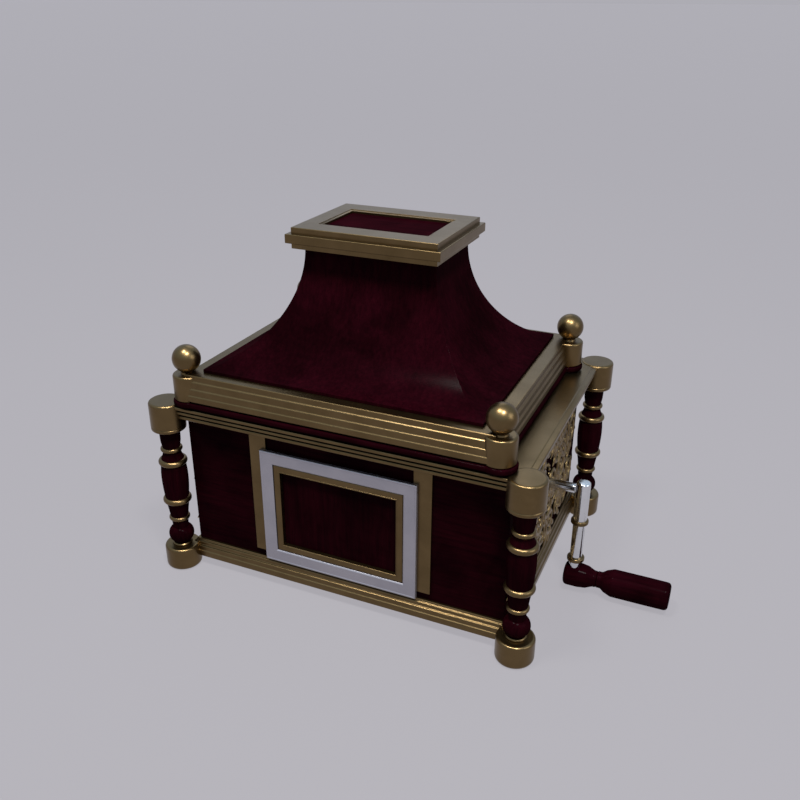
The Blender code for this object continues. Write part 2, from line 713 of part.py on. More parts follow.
# The lid's hinge: one long leaf screwed to the case, a short one on the lid, and the pin.
third = HINGE_LENGTH / 6
leaf_low = LEDGE_TOP + GAP
case_leaf = box(
    "hinge_case_leaf",
    (-HINGE_LENGTH / 2, HINGE_Y + HINGE_KNUCKLE + 2 * GAP, leaf_low),
    (HINGE_LENGTH / 2, HINGE_Y + HINGE_LEAF_DEPTH, leaf_low + HINGE_LEAF),
    root,
    BRASS,
)
lid_leaf = box(
    "hinge_lid_leaf",
    (-third + GAP, LID_BACK + GAP, LID_BOARD_TOP + 2 * GAP),
    (third - GAP, LID_BACK + GAP + HINGE_LEAF, LID_BOARD_TOP + LID_MOULDING_HEIGHT * 0.26),
    lid_axis,
    BRASS,
)
bend_low = LID_BOARD_TOP + 2 * GAP
bend_high = bend_low + HINGE_LEAF
bend = box(
    "hinge_lid_bend",
    (-third + GAP, LID_BACK + GAP, bend_low),
    (third - GAP, HINGE_Y, bend_high),
    lid_axis,
    None,
)
arm = box(
    "hinge_lid_arm",
    (-third + GAP, HINGE_Y - HINGE_LEAF, HINGE_Z),
    (third - GAP, HINGE_Y, bend_high),
    lid_axis,
    None,
)
hinge_place = (0.0, HINGE_Y, HINGE_Z)
barrel_middle = rod(HINGE_KNUCKLE, third - GAP, -third + GAP)
lid_knuckle = turned("hinge_lid_knuckle", barrel_middle, hinge_place, lid_axis, None, 16, ALONG_X)
long_bore = rod(HINGE_BORE, HINGE_LENGTH, -HINGE_LENGTH)
lid_bore = turned("hinge_lid_bore", long_bore, hinge_place, lid_axis, None, 12, ALONG_X)
join(lid_leaf, bend, arm, lid_knuckle)
cut(lid_leaf, lid_bore)
for side, sign in (("left", -1), ("right", 1)):
    near, far = sorted((sign * (third + GAP), sign * HINGE_LENGTH / 2))
    tab = box(
        "hinge_tab_" + side,
        (near, HINGE_Y, leaf_low),
        (far, HINGE_Y + HINGE_KNUCKLE * 2, leaf_low + HINGE_LEAF),
        root,
        None,
    )
    knuckle = turned(
        "hinge_knuckle_" + side, rod(HINGE_KNUCKLE, far, near), hinge_place, root, None, 16, ALONG_X
    )
    join(case_leaf, tab, knuckle)
cut(case_leaf, turned("hinge_case_bore", long_bore, hinge_place, root, None, 12, ALONG_X))
pin_half = HINGE_LENGTH / 2 + HINGE_PIN
turned("hinge_pin", rod(HINGE_PIN, pin_half, -pin_half), hinge_place, root, STEEL, 12, ALONG_X)

# The crank: shaft in a brass bush, arm with two rings, wooden hub, and a grip that turns on a spindle.
crank_line = (0.0, CRANK_Y, CRANK_HEIGHT)
SHAFT_END = ARM_X - ARM_RADIUS - GAP
SHAFT_START = PLATE_RIGHT_X - PLATE_THICKNESS / 2
turned(
    "crank_shaft", rod(SHAFT_RADIUS, SHAFT_END, SHAFT_START), crank_line, crank_axis, CHROME, 16, ALONG_X
)
flange_out = CASE_X + GAP + 0.0020
bush = [
    (SHAFT_RADIUS + GAP / 3, flange_out),
    (BUSH_FLANGE, flange_out),
    (BUSH_FLANGE, CASE_X + GAP),
    (BUSH_RADIUS, CASE_X + GAP),
    (BUSH_RADIUS, INSIDE_X - 0.0005),
    (SHAFT_RADIUS + GAP / 3, INSIDE_X - 0.0005),
]
turned("shaft_bush", bush, crank_line, root, BRASS, 20, ALONG_X, closed=True)

ARM_LOW = -CRANK_THROW + 0.0020 + GAP
arm_profile = [(0.0, ARM_TOP)] + arc(ARM_RADIUS - 0.001, ARM_TOP - 0.001, 0.001, 90, 0, 2)
for share in (0.42, 0.83):
    ring_height = ARM_TOP - share * (CRANK_THROW + ARM_TOP - HUB_RADIUS)
    arm_profile += arc(ARM_RADIUS, ring_height, ARM_RING, 90, -90, 3)
arm_profile += [(ARM_RADIUS, ARM_LOW), (0.0, ARM_LOW)]
turned("crank_arm", arm_profile, (ARM_X, CRANK_Y, CRANK_HEIGHT), crank_axis, CHROME, steps=14)

handle_line = (0.0, CRANK_Y, HANDLE_Z)
hub_middle = HUB_START + HUB_RADIUS * 0.85
hub_profile = [(0.0, HUB_START + HUB_LENGTH), (NECK_RADIUS, HUB_START + HUB_LENGTH)]
hub_profile += [(NECK_RADIUS, HUB_START + HUB_LENGTH * 0.90), (HUB_RADIUS * 0.90, hub_middle + 0.0110)]
hub_profile += arc(HUB_RADIUS - 0.004, hub_middle + 0.003, 0.004, 60, 0, 3)
hub_profile += arc(HUB_RADIUS - 0.004, HUB_START + 0.004, 0.004, 0, -90, 3)
hub_profile += [(0.0, HUB_START)]
crank_hub = turned("crank_hub", hub_profile, handle_line, crank_axis, LACQUER, 14, ALONG_X)
arm_socket = turned(
    "arm_socket",
    rod(ARM_RADIUS + GAP, HUB_RADIUS * 2, 0.0020),
    (ARM_X, CRANK_Y, HANDLE_Z),
    crank_axis,
    None,
    14,
)
SPINDLE_START = ARM_X + ARM_RADIUS + SPINDLE_CLEARANCE
SPINDLE_END = GRIP_END - SPINDLE_COVER
hub_bore = turned(
    "hub_bore",
    rod(SPINDLE_RADIUS + GAP, GRIP_START + 0.01, SPINDLE_START - GAP),
    handle_line,
    crank_axis,
    None,
    14,
    ALONG_X,
)
cut(crank_hub, arm_socket, hub_bore)
turned(
    "grip_spindle",
    rod(SPINDLE_RADIUS, SPINDLE_END, SPINDLE_START),
    handle_line,
    crank_axis,
    STEEL,
    14,
    ALONG_X,
)
grip_bore = SPINDLE_RADIUS + GAP
grip_profile = [(0.0, SPINDLE_END + 0.001), (grip_bore, SPINDLE_END + 0.001), (grip_bore, GRIP_START)]
grip_outside = [(0.0, GRIP_END)]
grip_outside += arc(GRIP_RADIUS - 0.004, GRIP_END - 0.004, 0.004, 90, 0, 3)
grip_outside += [(GRIP_RADIUS, GRIP_START + 0.0150), (GRIP_RADIUS - 0.0020, GRIP_START + 0.0095)]
grip_outside += [(NECK_RADIUS, GRIP_START + 0.0030), (NECK_RADIUS, GRIP_START)]
turned("crank_grip", grip_outside + grip_profile[::-1], handle_line, grip_axis, LACQUER, 16, ALONG_X)


# The gear train: a pinion on the crank's shaft drives the wheel on the barrel's arbor.
def gear_outline(teeth, phase):
    """Straight-sided teeth; phase is the angle of one tooth's middle."""
    pitch = GEAR_MODULE * teeth / 2
    root_radius = pitch - TOOTH_DEPTH * GEAR_MODULE
    tip_radius = pitch + TOOTH_HEIGHT * GEAR_MODULE
    corners = ((root_radius, -0.30), (tip_radius, -0.11), (tip_radius, 0.11), (root_radius, 0.30))
    points = []
    for tooth in range(teeth):
        middle = phase + math.tau * tooth / teeth
        for radius, share in corners:
            angle = middle + share * math.tau / teeth
            points.append((radius * math.cos(angle), radius * math.sin(angle)))
    return points


# The outlines lie in the YZ plane, so their first axis is Y and their second is Z.
GEAR_TURN = (math.pi / 2, 0.0, math.pi / 2)
mesh_angle = math.pi / 4
wheel = gear_outline(WHEEL_TEETH, mesh_angle)
wheel_bore = circle(0.0, 0.0, ARBOR_RADIUS + GAP, 16)
flat(
    "barrel_gear",
    [wheel, wheel_bore],
    GEAR_WIDTH,
    (GEAR_X, BARREL_Y, BARREL_Z),
    barrel_axis,
    BRASS,
    GEAR_TURN,
)
pinion = gear_outline(PINION_TEETH, mesh_angle + math.pi + math.pi / PINION_TEETH)
pinion_bore = circle(0.0, 0.0, SHAFT_RADIUS + GAP, 16)
flat(
    "crank_pinion",
    [pinion, pinion_bore],
    GEAR_WIDTH,
    (GEAR_X, CRANK_Y, CRANK_HEIGHT),
    crank_axis,
    STEEL,
    GEAR_TURN,
)


# The barrel with its pins, on two bearing plates that stand on the floor.
ARBOR_START = PLATE_LEFT_X - PLATE_THICKNESS / 2 - PLATE_CLEARANCE
ARBOR_END = GEAR_X + GEAR_WIDTH / 2 + END_CLEARANCE
barrel_profile = [
    (0.0, ARBOR_END),
    (ARBOR_RADIUS, ARBOR_END),
    (ARBOR_RADIUS, BARREL_END),
    (BARREL_RADIUS, BARREL_END),
    (BARREL_RADIUS, BARREL_START),
    (ARBOR_RADIUS, BARREL_START),
    (ARBOR_RADIUS, ARBOR_START),
    (0.0, ARBOR_START),
]
barrel_line = (0.0, BARREL_Y, BARREL_Z)
barrel = turned("barrel", barrel_profile, barrel_line, barrel_axis, SPRUCE, 24, ALONG_X)
NOTE_PLACES = [NOTE_SPACING * (i - (NOTES - 1) / 2) for i in range(NOTES)]
for note, note_x in enumerate(NOTE_PLACES):
    for pin in range(PINS_PER_NOTE):
        angle = math.tau * (pin / PINS_PER_NOTE + 0.13 + note * 0.07)
        reach = BARREL_RADIUS + BARREL_PIN
        name = f"barrel_pin_{note}_{pin}"
        stud = rod(PIN_RADIUS, reach, BARREL_RADIUS - BARREL_PIN)
        made = turned(name, stud, barrel_line, barrel_axis, None, 4)
        made.location.x = note_x
        made.rotation_euler = (angle, 0.0, 0.0)
        join(barrel, made)

plate_low = BOARD_TOP + GAP
plate_wide = ARBOR_RADIUS + 0.0160
left_plate = box(
    "left_bearing",
    (PLATE_LEFT_X - PLATE_THICKNESS / 2, BARREL_Y - plate_wide, plate_low),
    (PLATE_LEFT_X + PLATE_THICKNESS / 2, BARREL_Y + plate_wide, BARREL_Z + plate_wide),
    root,
    SPRUCE,
)
right_plate = box(
    "right_bearing",
    (PLATE_RIGHT_X - PLATE_THICKNESS / 2, BARREL_Y - plate_wide, plate_low),
    (PLATE_RIGHT_X + PLATE_THICKNESS / 2, CRANK_Y + 0.0140, CRANK_HEIGHT + 0.0140),
    root,
    SPRUCE,
)
for plate, middle in ((left_plate, PLATE_LEFT_X), (right_plate, PLATE_RIGHT_X)):
    hole = rod(ARBOR_RADIUS + GAP, PLATE_THICKNESS, -PLATE_THICKNESS)
    place = (middle, BARREL_Y, BARREL_Z)
    cut(plate, turned(plate.name + "_bore", hole, place, root, None, 16, ALONG_X))
shaft_hole = rod(SHAFT_RADIUS + GAP, PLATE_THICKNESS, -PLATE_THICKNESS)
shaft_place = (PLATE_RIGHT_X, CRANK_Y, CRANK_HEIGHT)
cut(right_plate, turned("shaft_bore", shaft_hole, shaft_place, root, None, 16, ALONG_X))

# The strings stand in front of a plank at the back, and a sprung hammer on the rail strikes each.
rail_end = INSIDE_X + WALL / 2 - 2 * GAP
turned(
    "hammer_rail",
    rod(RAIL_RADIUS, rail_end, -rail_end),
    (0.0, PIVOT_Y, PIVOT_Z),
    root,
    STEEL,
    12,
    ALONG_X,
)
PLANK_HALF = NOTE_SPACING * NOTES / 2
plank_low = BOARD_TOP + GAP
plank_high = PANEL_TOP - 0.0060
plank = box(
    "string_plank",
    (-PLANK_HALF, PLANK_FACE, plank_low),
    (PLANK_HALF, INSIDE_Y - GAP, plank_high),
    root,
    SPRUCE,
)
BRIDGE_Z = plank_low + BRIDGE_RISE
box(
    "string_bridge",
    (-PLANK_HALF, PLANK_FACE - GAP - BRIDGE_DEPTH + GAP, BRIDGE_Z - 0.0050),
    (PLANK_HALF, PLANK_FACE - GAP, BRIDGE_Z + 0.0050),
    root,
    SPRUCE,
)
STRING_HIGH = plank_high - STRING_DROP
STRING_LOW = plank_low + STRING_FOOT
for note, note_x in enumerate(NOTE_PLACES):
    number = note + 1
    for label, height in (("top", STRING_HIGH), ("low", STRING_LOW)):
        pin_profile = rod(0.0018, 0.0160, -0.0040)
        tuning = turned(
            f"tuning_pin_{label}_{number}",
            pin_profile,
            (note_x, PLANK_FACE, height),
            root,
            None,
            10,
            (math.pi / 2, 0.0, 0.0),
        )
        join(plank, tuning)
    wire = bpy.data.curves.new(f"string_{number}", "CURVE")
    wire.dimensions = "3D"
    wire.bevel_depth = STRING_RADIUS
    wire.bevel_resolution = 1
    wire.use_fill_caps = True
    spline = wire.splines.new("POLY")
    spline.points.add(1)
    offset = 0.0018 + STRING_RADIUS + GAP
    spline.points[0].co = (offset, 0.0, STRING_HIGH + 0.0030, 1.0)
    spline.points[1].co = (offset, 0.0, STRING_LOW - 0.0030, 1.0)
    finish(f"string_{number}", wire, (note_x, STRING_Y, 0.0), root, STEEL)

for note, note_x in enumerate(NOTE_PLACES):
    number = note + 1
    hammer_axis = empty(f"hammer_{number}_axis", (note_x, PIVOT_Y, PIVOT_Z), root)
    side = HAMMER_THICKNESS / 2
    at = Vector((note_x, PIVOT_Y, PIVOT_Z))
    face = STRING_Y - STRING_RADIUS - STRIKE_GAP - PIVOT_Y
    hub = turned(
        f"hammer_{number}", rod(HUB_OF_HAMMER, side, -side), at, hammer_axis, SPRUCE, 12, ALONG_X
    )
    tail = box(
        f"hammer_tail_{number}",
        at + Vector((-side, -TAIL_LENGTH, -0.0015)),
        at + Vector((side, -RAIL_RADIUS, 0.0015)),
        hammer_axis,
        None,
    )
    shank = box(
        f"hammer_shank_{number}",
        at + Vector((-side, face - HEAD_LENGTH, RAIL_RADIUS - 0.001)),
        at + Vector((side, face - HEAD_LENGTH + 0.0040, HAMMER_RISE)),
        hammer_axis,
        None,
    )
    foot = box(
        f"hammer_foot_{number}",
        at + Vector((-side, RAIL_RADIUS, -0.0015)),
        at + Vector((side, face - HEAD_LENGTH + 0.0040, 0.0025)),
        hammer_axis,
        None,
    )
    head = box(
        f"hammer_head_{number}",
        at + Vector((-side, face - HEAD_LENGTH + 0.002, HAMMER_RISE - 0.008)),
        at + Vector((side, face, HAMMER_RISE)),
        hammer_axis,
        None,
    )
    bore_profile = rod(RAIL_RADIUS + GAP, side * 2, -side * 2)
    bore = turned(f"hammer_bore_{number}", bore_profile, at, hammer_axis, None, 10, ALONG_X)
    join(hub, tail, foot, shank, head)
    cut(hub, bore)
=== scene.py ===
import math

import bmesh
import bpy
from mathutils import Matrix, Vector


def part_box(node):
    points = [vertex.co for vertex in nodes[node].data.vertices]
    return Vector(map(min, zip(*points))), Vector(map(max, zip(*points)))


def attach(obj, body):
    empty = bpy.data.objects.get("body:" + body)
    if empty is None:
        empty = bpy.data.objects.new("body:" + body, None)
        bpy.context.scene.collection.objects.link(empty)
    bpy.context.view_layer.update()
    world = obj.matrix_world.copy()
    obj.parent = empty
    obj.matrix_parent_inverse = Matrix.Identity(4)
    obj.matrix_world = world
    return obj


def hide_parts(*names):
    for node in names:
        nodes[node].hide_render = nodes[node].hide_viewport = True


# a barrel piano in a lacquered case with brass mouldings: its looks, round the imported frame
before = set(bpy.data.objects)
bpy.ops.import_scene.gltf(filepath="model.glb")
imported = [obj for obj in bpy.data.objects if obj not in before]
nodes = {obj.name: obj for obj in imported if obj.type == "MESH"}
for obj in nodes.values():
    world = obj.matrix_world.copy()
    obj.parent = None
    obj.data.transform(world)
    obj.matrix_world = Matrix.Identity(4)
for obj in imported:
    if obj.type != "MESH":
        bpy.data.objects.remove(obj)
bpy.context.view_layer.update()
corners = ("front_left", "front_right", "back_left", "back_right")
print("frame loaded:", len(nodes), "nodes")


class Wire:
    # one output socket of a node tree, with its arithmetic written as Python
    def __init__(self, socket):
        self.socket = socket

    def node(self, kind, settings=None, values=None, out=0):
        tree = self.socket.id_data
        made = tree.nodes.new(kind)
        for name, value in (settings or {}).items():
            if name == "stops":
                ramp = made.color_ramp
                while len(ramp.elements) < len(value):
                    ramp.elements.new(0.5)
                for stop, (place, colour) in zip(ramp.elements, value):
                    stop.position = place
                    stop.color = colour
            else:
                setattr(made, name, value)
        for name, value in (values or {}).items():
            if isinstance(value, Wire):
                tree.links.new(value.socket, made.inputs[name])
            else:
                made.inputs[name].default_value = value
        return Wire(made.outputs[out])

    def maths(self, how, first, second=None):
        given = [first, second]
        vectors = any(isinstance(g, Wire) and g.socket.type in ("VECTOR", "RGBA") for g in given)
        if vectors:
            given = [(g, g, g) if isinstance(g, (int, float)) else g for g in given]
        kind = "ShaderNodeVectorMath" if vectors else "ShaderNodeMath"
        sockets = {i: g for i, g in enumerate(given) if g is not None}
        return self.node(kind, {"operation": how}, sockets)

    def of(self, how):
        # one function of this value, such as its sine
        return self.maths(how, self)

    def vector(self, **parts):
        return self.node("ShaderNodeCombineXYZ", {}, parts)

    def __add__(self, other):
        return self.maths("ADD", self, other)

    def __radd__(self, other):
        return self.maths("ADD", other, self)

    def __sub__(self, other):
        return self.maths("SUBTRACT", self, other)

    def __rsub__(self, other):
        return self.maths("SUBTRACT", other, self)

    def __mul__(self, other):
        return self.maths("MULTIPLY", self, other)

    def __rmul__(self, other):
        return self.maths("MULTIPLY", other, self)

    def __truediv__(self, other):
        return self.maths("DIVIDE", self, other)

    def __mod__(self, other):
        return self.maths("MODULO", self, other)

    def __pow__(self, other):
        return self.maths("POWER", self, other)

    def mixed(self, low, high):
        # the colour between two, by this mask
        ends = [end if isinstance(end, Wire) else (*end, 1.0) for end in (low, high)]
        sockets = {0: self, 6: ends[0], 7: ends[1]}
        return self.node("ShaderNodeMix", {"data_type": "RGBA"}, sockets, 2)

    def between(self, low, high, start=0.0, end=1.0):
        values = {"Value": self, "From Min": low, "From Max": high, "To Min": start, "To Max": end}
        return self.node("ShaderNodeMapRange", {"clamp": True}, values)


def finishOf(name, fixed):
    # a Principled material; the fixed values go on the shader's own sockets
    made = bpy.data.materials.new(name)
    made.use_nodes = True
    shader = made.node_tree.nodes["Principled BSDF"]
    for socket, value in fixed.items():
        shader.inputs[socket].default_value = value
    place = Wire(made.node_tree.nodes.new("ShaderNodeTexCoord").outputs["Object"])
    return made, shader, place


def plug(shader, **links):
    tree = shader.id_data
    for name, wire in links.items():
        tree.links.new(wire.socket, shader.inputs[name.replace("_", " ")])


def noiseAt(place, scale, detail=3.0, rough=0.5, stretch=(1, 1, 1), distortion=0.0):
    placed = place.node("ShaderNodeMapping", {}, {"Vector": place, "Scale": stretch})
    values = {"Vector": placed, "Scale": scale, "Detail": detail, "Roughness": rough}
    values["Distortion"] = distortion
    return place.node("ShaderNodeTexNoise", {}, values)


def bumpOf(place, height, strength, distance):
    values = {"Height": height, "Strength": strength, "Distance": distance}
    return place.node("ShaderNodeBump", {}, values)


def lacquerFinish(name, grainAlong, look):
    # dark burgundy lacquer: broad reddish clouds, fine grain along the board, soft orange peel
    made, shader, place = finishOf(
        name,
        {
            "Metallic": 0.0,
            "Coat Weight": look["coat"],
            "Coat Roughness": look["coatRough"],
            "Specular IOR Level": look["specular"],
            "IOR": 1.12,
        },
    )
    stretch = tuple(0.06 if i == grainAlong else 1.0 for i in range(3))
    clouds = noiseAt(place, look["cloudScale"], 4.0, 0.6, distortion=0.4).between(0.36, 0.68)
    grain = noiseAt(place, look["grainScale"], 5.0, 0.65, stretch).between(0.35, 0.72)
    pores = noiseAt(place, look["poreScale"], 2.0, 0.5, stretch).between(0.56, 0.70)
    base = clouds.mixed(look["deep"], look["warm"])
    ruddy = (clouds * 0.45 + 0.2) * grain
    base = ruddy.mixed(base, look["ruddy"])
    base = (pores * 0.5).mixed(base, look["deep"])
    peel = noiseAt(place, look["peelScale"], 2.0, 0.5)
    rough = look["rough"] + clouds * 0.06 + grain * 0.05 + peel * 0.03
    bump = bumpOf(place, peel * 0.6 + grain * 0.4 - pores * 0.5, 0.22, look["bumpDepth"])
    plug(shader, Base_Color=base, Roughness=rough, Normal=bump)
    return made


lacquerLook = {
    "deep": (0.0034, 0.0003, 0.0008),
    "warm": (0.0085, 0.0007, 0.0019),
    "ruddy": (0.0190, 0.0014, 0.0034),
    "cloudScale": 17.0,
    "grainScale": 260.0,
    "poreScale": 900.0,
    "peelScale": 420.0,
    "rough": 0.27,
    "coat": 0.012,
    "coatRough": 0.16,
    "specular": 0.0,
    "bumpDepth": 0.00035,
}
lacquerUp = lacquerFinish("lacquer_upright_grain", 2, lacquerLook)
lacquerAlong = lacquerFinish("lacquer_long_grain", 0, lacquerLook)


def metalFinish(name, look):
    # cast and polished metal: slight tarnish clouds, fine brushing, tiny pits
    made, shader, place = finishOf(name, {"Metallic": 1.0})
    clouds = noiseAt(place, look["cloudScale"], 4.0, 0.6, distortion=0.3).between(0.35, 0.70)
    fine = noiseAt(place, look["fineScale"], 3.0, 0.6)
    pits = noiseAt(place, look["pitScale"], 1.0, 0.5).between(0.70, 0.78)
    base = clouds.mixed(look["base"], look["tarnish"])
    base = (pits * 0.35).mixed(base, look["dark"])
    rough = look["rough"] + clouds * look["roughSpread"] + fine * 0.05 + pits * 0.1
    bump = bumpOf(place, fine * 0.7 - pits, look["bump"], 0.0002)
    plug(shader, Base_Color=base, Roughness=rough, Normal=bump)
    return made


brassLook = {
    "base": (0.168, 0.112, 0.051),
    "tarnish": (0.130, 0.086, 0.038),
    "dark": (0.040, 0.025, 0.012),
    "cloudScale": 34.0,
    "fineScale": 1300.0,
    "pitScale": 700.0,
    "rough": 0.255,
    "roughSpread": 0.06,
    "bump": 0.10,
}
silverLook = {
    "base": (0.440, 0.420, 0.455),
    "tarnish": (0.380, 0.365, 0.400),
    "dark": (0.200, 0.200, 0.220),
    "cloudScale": 26.0,
    "fineScale": 1500.0,
    "pitScale": 900.0,
    "rough": 0.42,
    "roughSpread": 0.07,
    "bump": 0.12,
}
chromeLook = {
    "base": (0.780, 0.785, 0.800),
    "tarnish": (0.700, 0.705, 0.720),
    "dark": (0.300, 0.300, 0.310),
    "cloudScale": 60.0,
    "fineScale": 2200.0,
    "pitScale": 1500.0,
    "rough": 0.085,
    "roughSpread": 0.05,
    "bump": 0.03,
}
steelLook = {
    "base": (0.500, 0.500, 0.500),
    "tarnish": (0.380, 0.375, 0.370),
    "dark": (0.120, 0.110, 0.100),
    "cloudScale": 80.0,
    "fineScale": 1800.0,
    "pitScale": 1200.0,
    "rough": 0.30,
    "roughSpread": 0.08,
    "bump": 0.10,
}
brass = metalFinish("satin_brass", brassLook)
silver = metalFinish("satin_silver", silverLook)
chrome = metalFinish("bright_chrome", chromeLook)
steel = metalFinish("plain_steel", steelLook)


def gildedFinish(look):
    # the carved scrollwork: gilding, bright on the proud tops and darker the nearer it lies to the
    # panel, as painted shade in the hollows
    made, shader, place = finishOf("gilded_carving", {"Metallic": 1.0})
    depth = place.node("ShaderNodeSeparateXYZ", {}, {"Vector": place}, 0)
    away = (depth - look["middleX"]).of("ABSOLUTE") - look["faceX"]
    high = away.between(look["hollow"], look["proud"])
    patches = noiseAt(place, look["patchScale"], 4.0, 0.65).between(0.30, 0.75)
    # painted shade: darker towards the panel by depth, mixed with random patches of tone
    shadeAndPatches = high * 0.75 + patches * 0.25
    base = shadeAndPatches.mixed(look["dark"], look["bright"])
    rough = look["rough"] - high * 0.08 + patches * 0.10
    hammered = noiseAt(place, look["hammerScale"], 3.0, 0.6)
    bump = bumpOf(place, hammered, 0.25, 0.0004)
    plug(shader, Base_Color=base, Roughness=rough, Normal=bump)
    return made


panelLow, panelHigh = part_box("left_panel")[0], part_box("right_panel")[1]
caseMiddleX = (panelLow.x + panelHigh.x) / 2
caseHalfX = (panelHigh.x - panelLow.x) / 2
gildedLook = {
    "middleX": caseMiddleX,
    "faceX": caseHalfX,
    "hollow": 0.0005,
    "proud": 0.0085,
    # dark is the painted shade in the hollows, bright the gilding on the proud tops
    "dark": (0.060, 0.036, 0.014),
    "bright": (0.430, 0.300, 0.140),
    "patchScale": 160.0,
    "hammerScale": 900.0,
    "rough": 0.30,
}
gilded = gildedFinish(gildedLook)


def spruceFinish(name, along, look):
    # plain planed wood with long darker rings
    made, shader, place = finishOf(name, {"Metallic": 0.0, "Specular IOR Level": 0.35})
    stretch = tuple(0.035 if i == along else 1.0 for i in range(3))
    rings = noiseAt(place, look["ringScale"], 3.0, 0.55, stretch, 0.6).between(0.38, 0.62)
    fibre = noiseAt(place, look["fibreScale"], 4.0, 0.6, stretch)
    base = rings.mixed(look["pale"], look["ring"])
    base = (fibre * 0.35).mixed(base, look["dust"])
    bump = bumpOf(place, fibre - rings * 0.5, 0.35, 0.0003)
    plug(shader, Base_Color=base, Roughness=0.52 + fibre * 0.18, Normal=bump)
    return made


spruceLook = {
    "pale": (0.560, 0.370, 0.190),
    "ring": (0.360, 0.200, 0.085),
    "dust": (0.300, 0.200, 0.110),
    "ringScale": 190.0,
    "fibreScale": 1400.0,
}
spruceLong = spruceFinish("planed_spruce_long", 0, spruceLook)
spruceTall = spruceFinish("planed_spruce_tall", 2, spruceLook)
print("finishes made")


def pieceOf(name, points, faces, finish, body, slot, *replaced, creaseAngle=38):
    # a mesh from points and faces, closed and facing outward
    mesh = bpy.data.meshes.new(name)
    mesh.from_pydata([tuple(p) for p in points], [], faces)
    shell = bmesh.new()
    shell.from_mesh(mesh)
    bmesh.ops.remove_doubles(shell, verts=shell.verts, dist=1e-6)
    bmesh.ops.recalc_face_normals(shell, faces=shell.faces)
    shell.to_mesh(mesh)
    shell.free()
    return settle(name, mesh, finish, body, slot, *replaced, creaseAngle=creaseAngle, evened=True)


def evenNormals(piece):
    # broad faces keep their own shading beside a narrow rounded edge
    modifier = piece.modifiers.new("even", "WEIGHTED_NORMAL")
    modifier.keep_sharp = True
    graph = bpy.context.evaluated_depsgraph_get()
    mesh = bpy.data.meshes.new_from_object(piece.evaluated_get(graph))
    piece.modifiers.remove(modifier)
    piece.data = mesh


def settle(name, mesh, finish, body, slot, *replaced, creaseAngle=38, evened=False):
    mesh.polygons.foreach_set("use_smooth", [True] * len(mesh.polygons))
    mesh.set_sharp_from_angle(angle=math.radians(creaseAngle))
    mesh.materials.clear()
    mesh.materials.append(finish)
    mesh.update()
    piece = bpy.data.objects.new(name, mesh)
    bpy.context.scene.collection.objects.link(piece)
    if evened:
        evenNormals(piece)
    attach(piece, body)
    if replaced:
        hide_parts(*replaced)
    return piece


def rounded(corners2d, closed=True, steps=4):
    # corner points with a radius each, turned into an outline with rounded corners
    outline = []
    count = len(corners2d)
    for i, (across, up, radius) in enumerate(corners2d):
        here = Vector((across, up))
        if radius <= 0 or (not closed and i in (0, count - 1)):
            outline.append(here)
            continue
        before = Vector(corners2d[i - 1][:2]) - here
        after = Vector(corners2d[(i + 1) % count][:2]) - here
        half = before.angle(after) / 2
        reach = min(radius / math.tan(half), before.length * 0.48, after.length * 0.48)
        start, end = here + before.normalized() * reach, here + after.normalized() * reach
        for step in range(steps + 1):
            share = step / steps
            outline.append(start.lerp(here, share).lerp(here.lerp(end, share), share))
    return outline


def turnedShape(profile, place, steps=64, alongX=False):
    # an outline of (radius, height) from the top down, turned about its own axis
    points, faces, rings = [], [], []
    for radius, height in profile:
        if radius < 1e-7:
            rings.append([len(points)] * steps)
            points.append(Vector((0, 0, height)))
            continue
        rings.append(list(range(len(points), len(points) + steps)))
        for step in range(steps):
            angle = math.tau * step / steps
            points.append(Vector((radius * math.cos(angle), radius * math.sin(angle), height)))
    for upper, lower in zip(rings, rings[1:]):
        for step in range(steps):
            after = (step + 1) % steps
            face = []
            for index in (upper[step], lower[step], lower[after], upper[after]):
                if index not in face:
                    face.append(index)
            if len(face) > 2:
                faces.append(face)
    if alongX:
        points = [Vector((p.z, p.x, p.y)) for p in points]
    return [p + Vector(place) for p in points], faces


def sweptShape(half, section, place, upright=False):
    # a closed section of (outward, depth) taken round a rectangle, with mitred corners
    points, faces = [], []
    count = len(section)
    for signX, signY in ((1, 1), (-1, 1), (-1, -1), (1, -1)):
        for outward, depth in section:
            across, along = signX * (half[0] + outward), signY * (half[1] + outward)
            points.append(Vector((across, depth, along) if upright else (across, along, depth)))
    for corner in range(4):
        for i in range(count):
            j = (i + 1) % count
            other = (corner + 1) % 4 * count
            faces.append([corner * count + i, corner * count + j, other + j, other + i])
    return [p + Vector(place) for p in points], faces


def boardShape(low, high, edge, steps=2):
    # a board with softened edges
    shell = bmesh.new()
    bmesh.ops.create_cube(shell, size=1.0)
    bmesh.ops.scale(shell, vec=high - low, verts=shell.verts)
    bmesh.ops.translate(shell, vec=(low + high) / 2, verts=shell.verts)
    bmesh.ops.bevel(
        shell, geom=shell.edges[:], offset=edge, segments=steps, profile=0.5, affect="EDGES"
    )
    points = [v.co.copy() for v in shell.verts]
    faces = [[v.index for v in f.verts] for f in shell.faces]
    shell.free()
    return points, faces


def joined(*shapes):
    points, faces = [], []
    for somePoints, someFaces in shapes:
        start = len(points)
        points += somePoints
        faces += [[i + start for i in face] for face in someFaces]
    return points, faces


def middleOf(node):
    low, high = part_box(node)
    return (low + high) / 2


def radiusOf(node):
    low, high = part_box(node)
    return (high.x - low.x) / 2


def drumShape(node, outline, steps):
    # an outline turned about the upright axis of a node
    middle = middleOf(node)
    return turnedShape(outline, (middle.x, middle.y, 0), steps)


def spindleShape(node, outline, steps):
    # an outline turned about the axis along X of a node
    middle = middleOf(node)
    return turnedShape(outline, (0, middle.y, middle.z), steps, alongX=True)


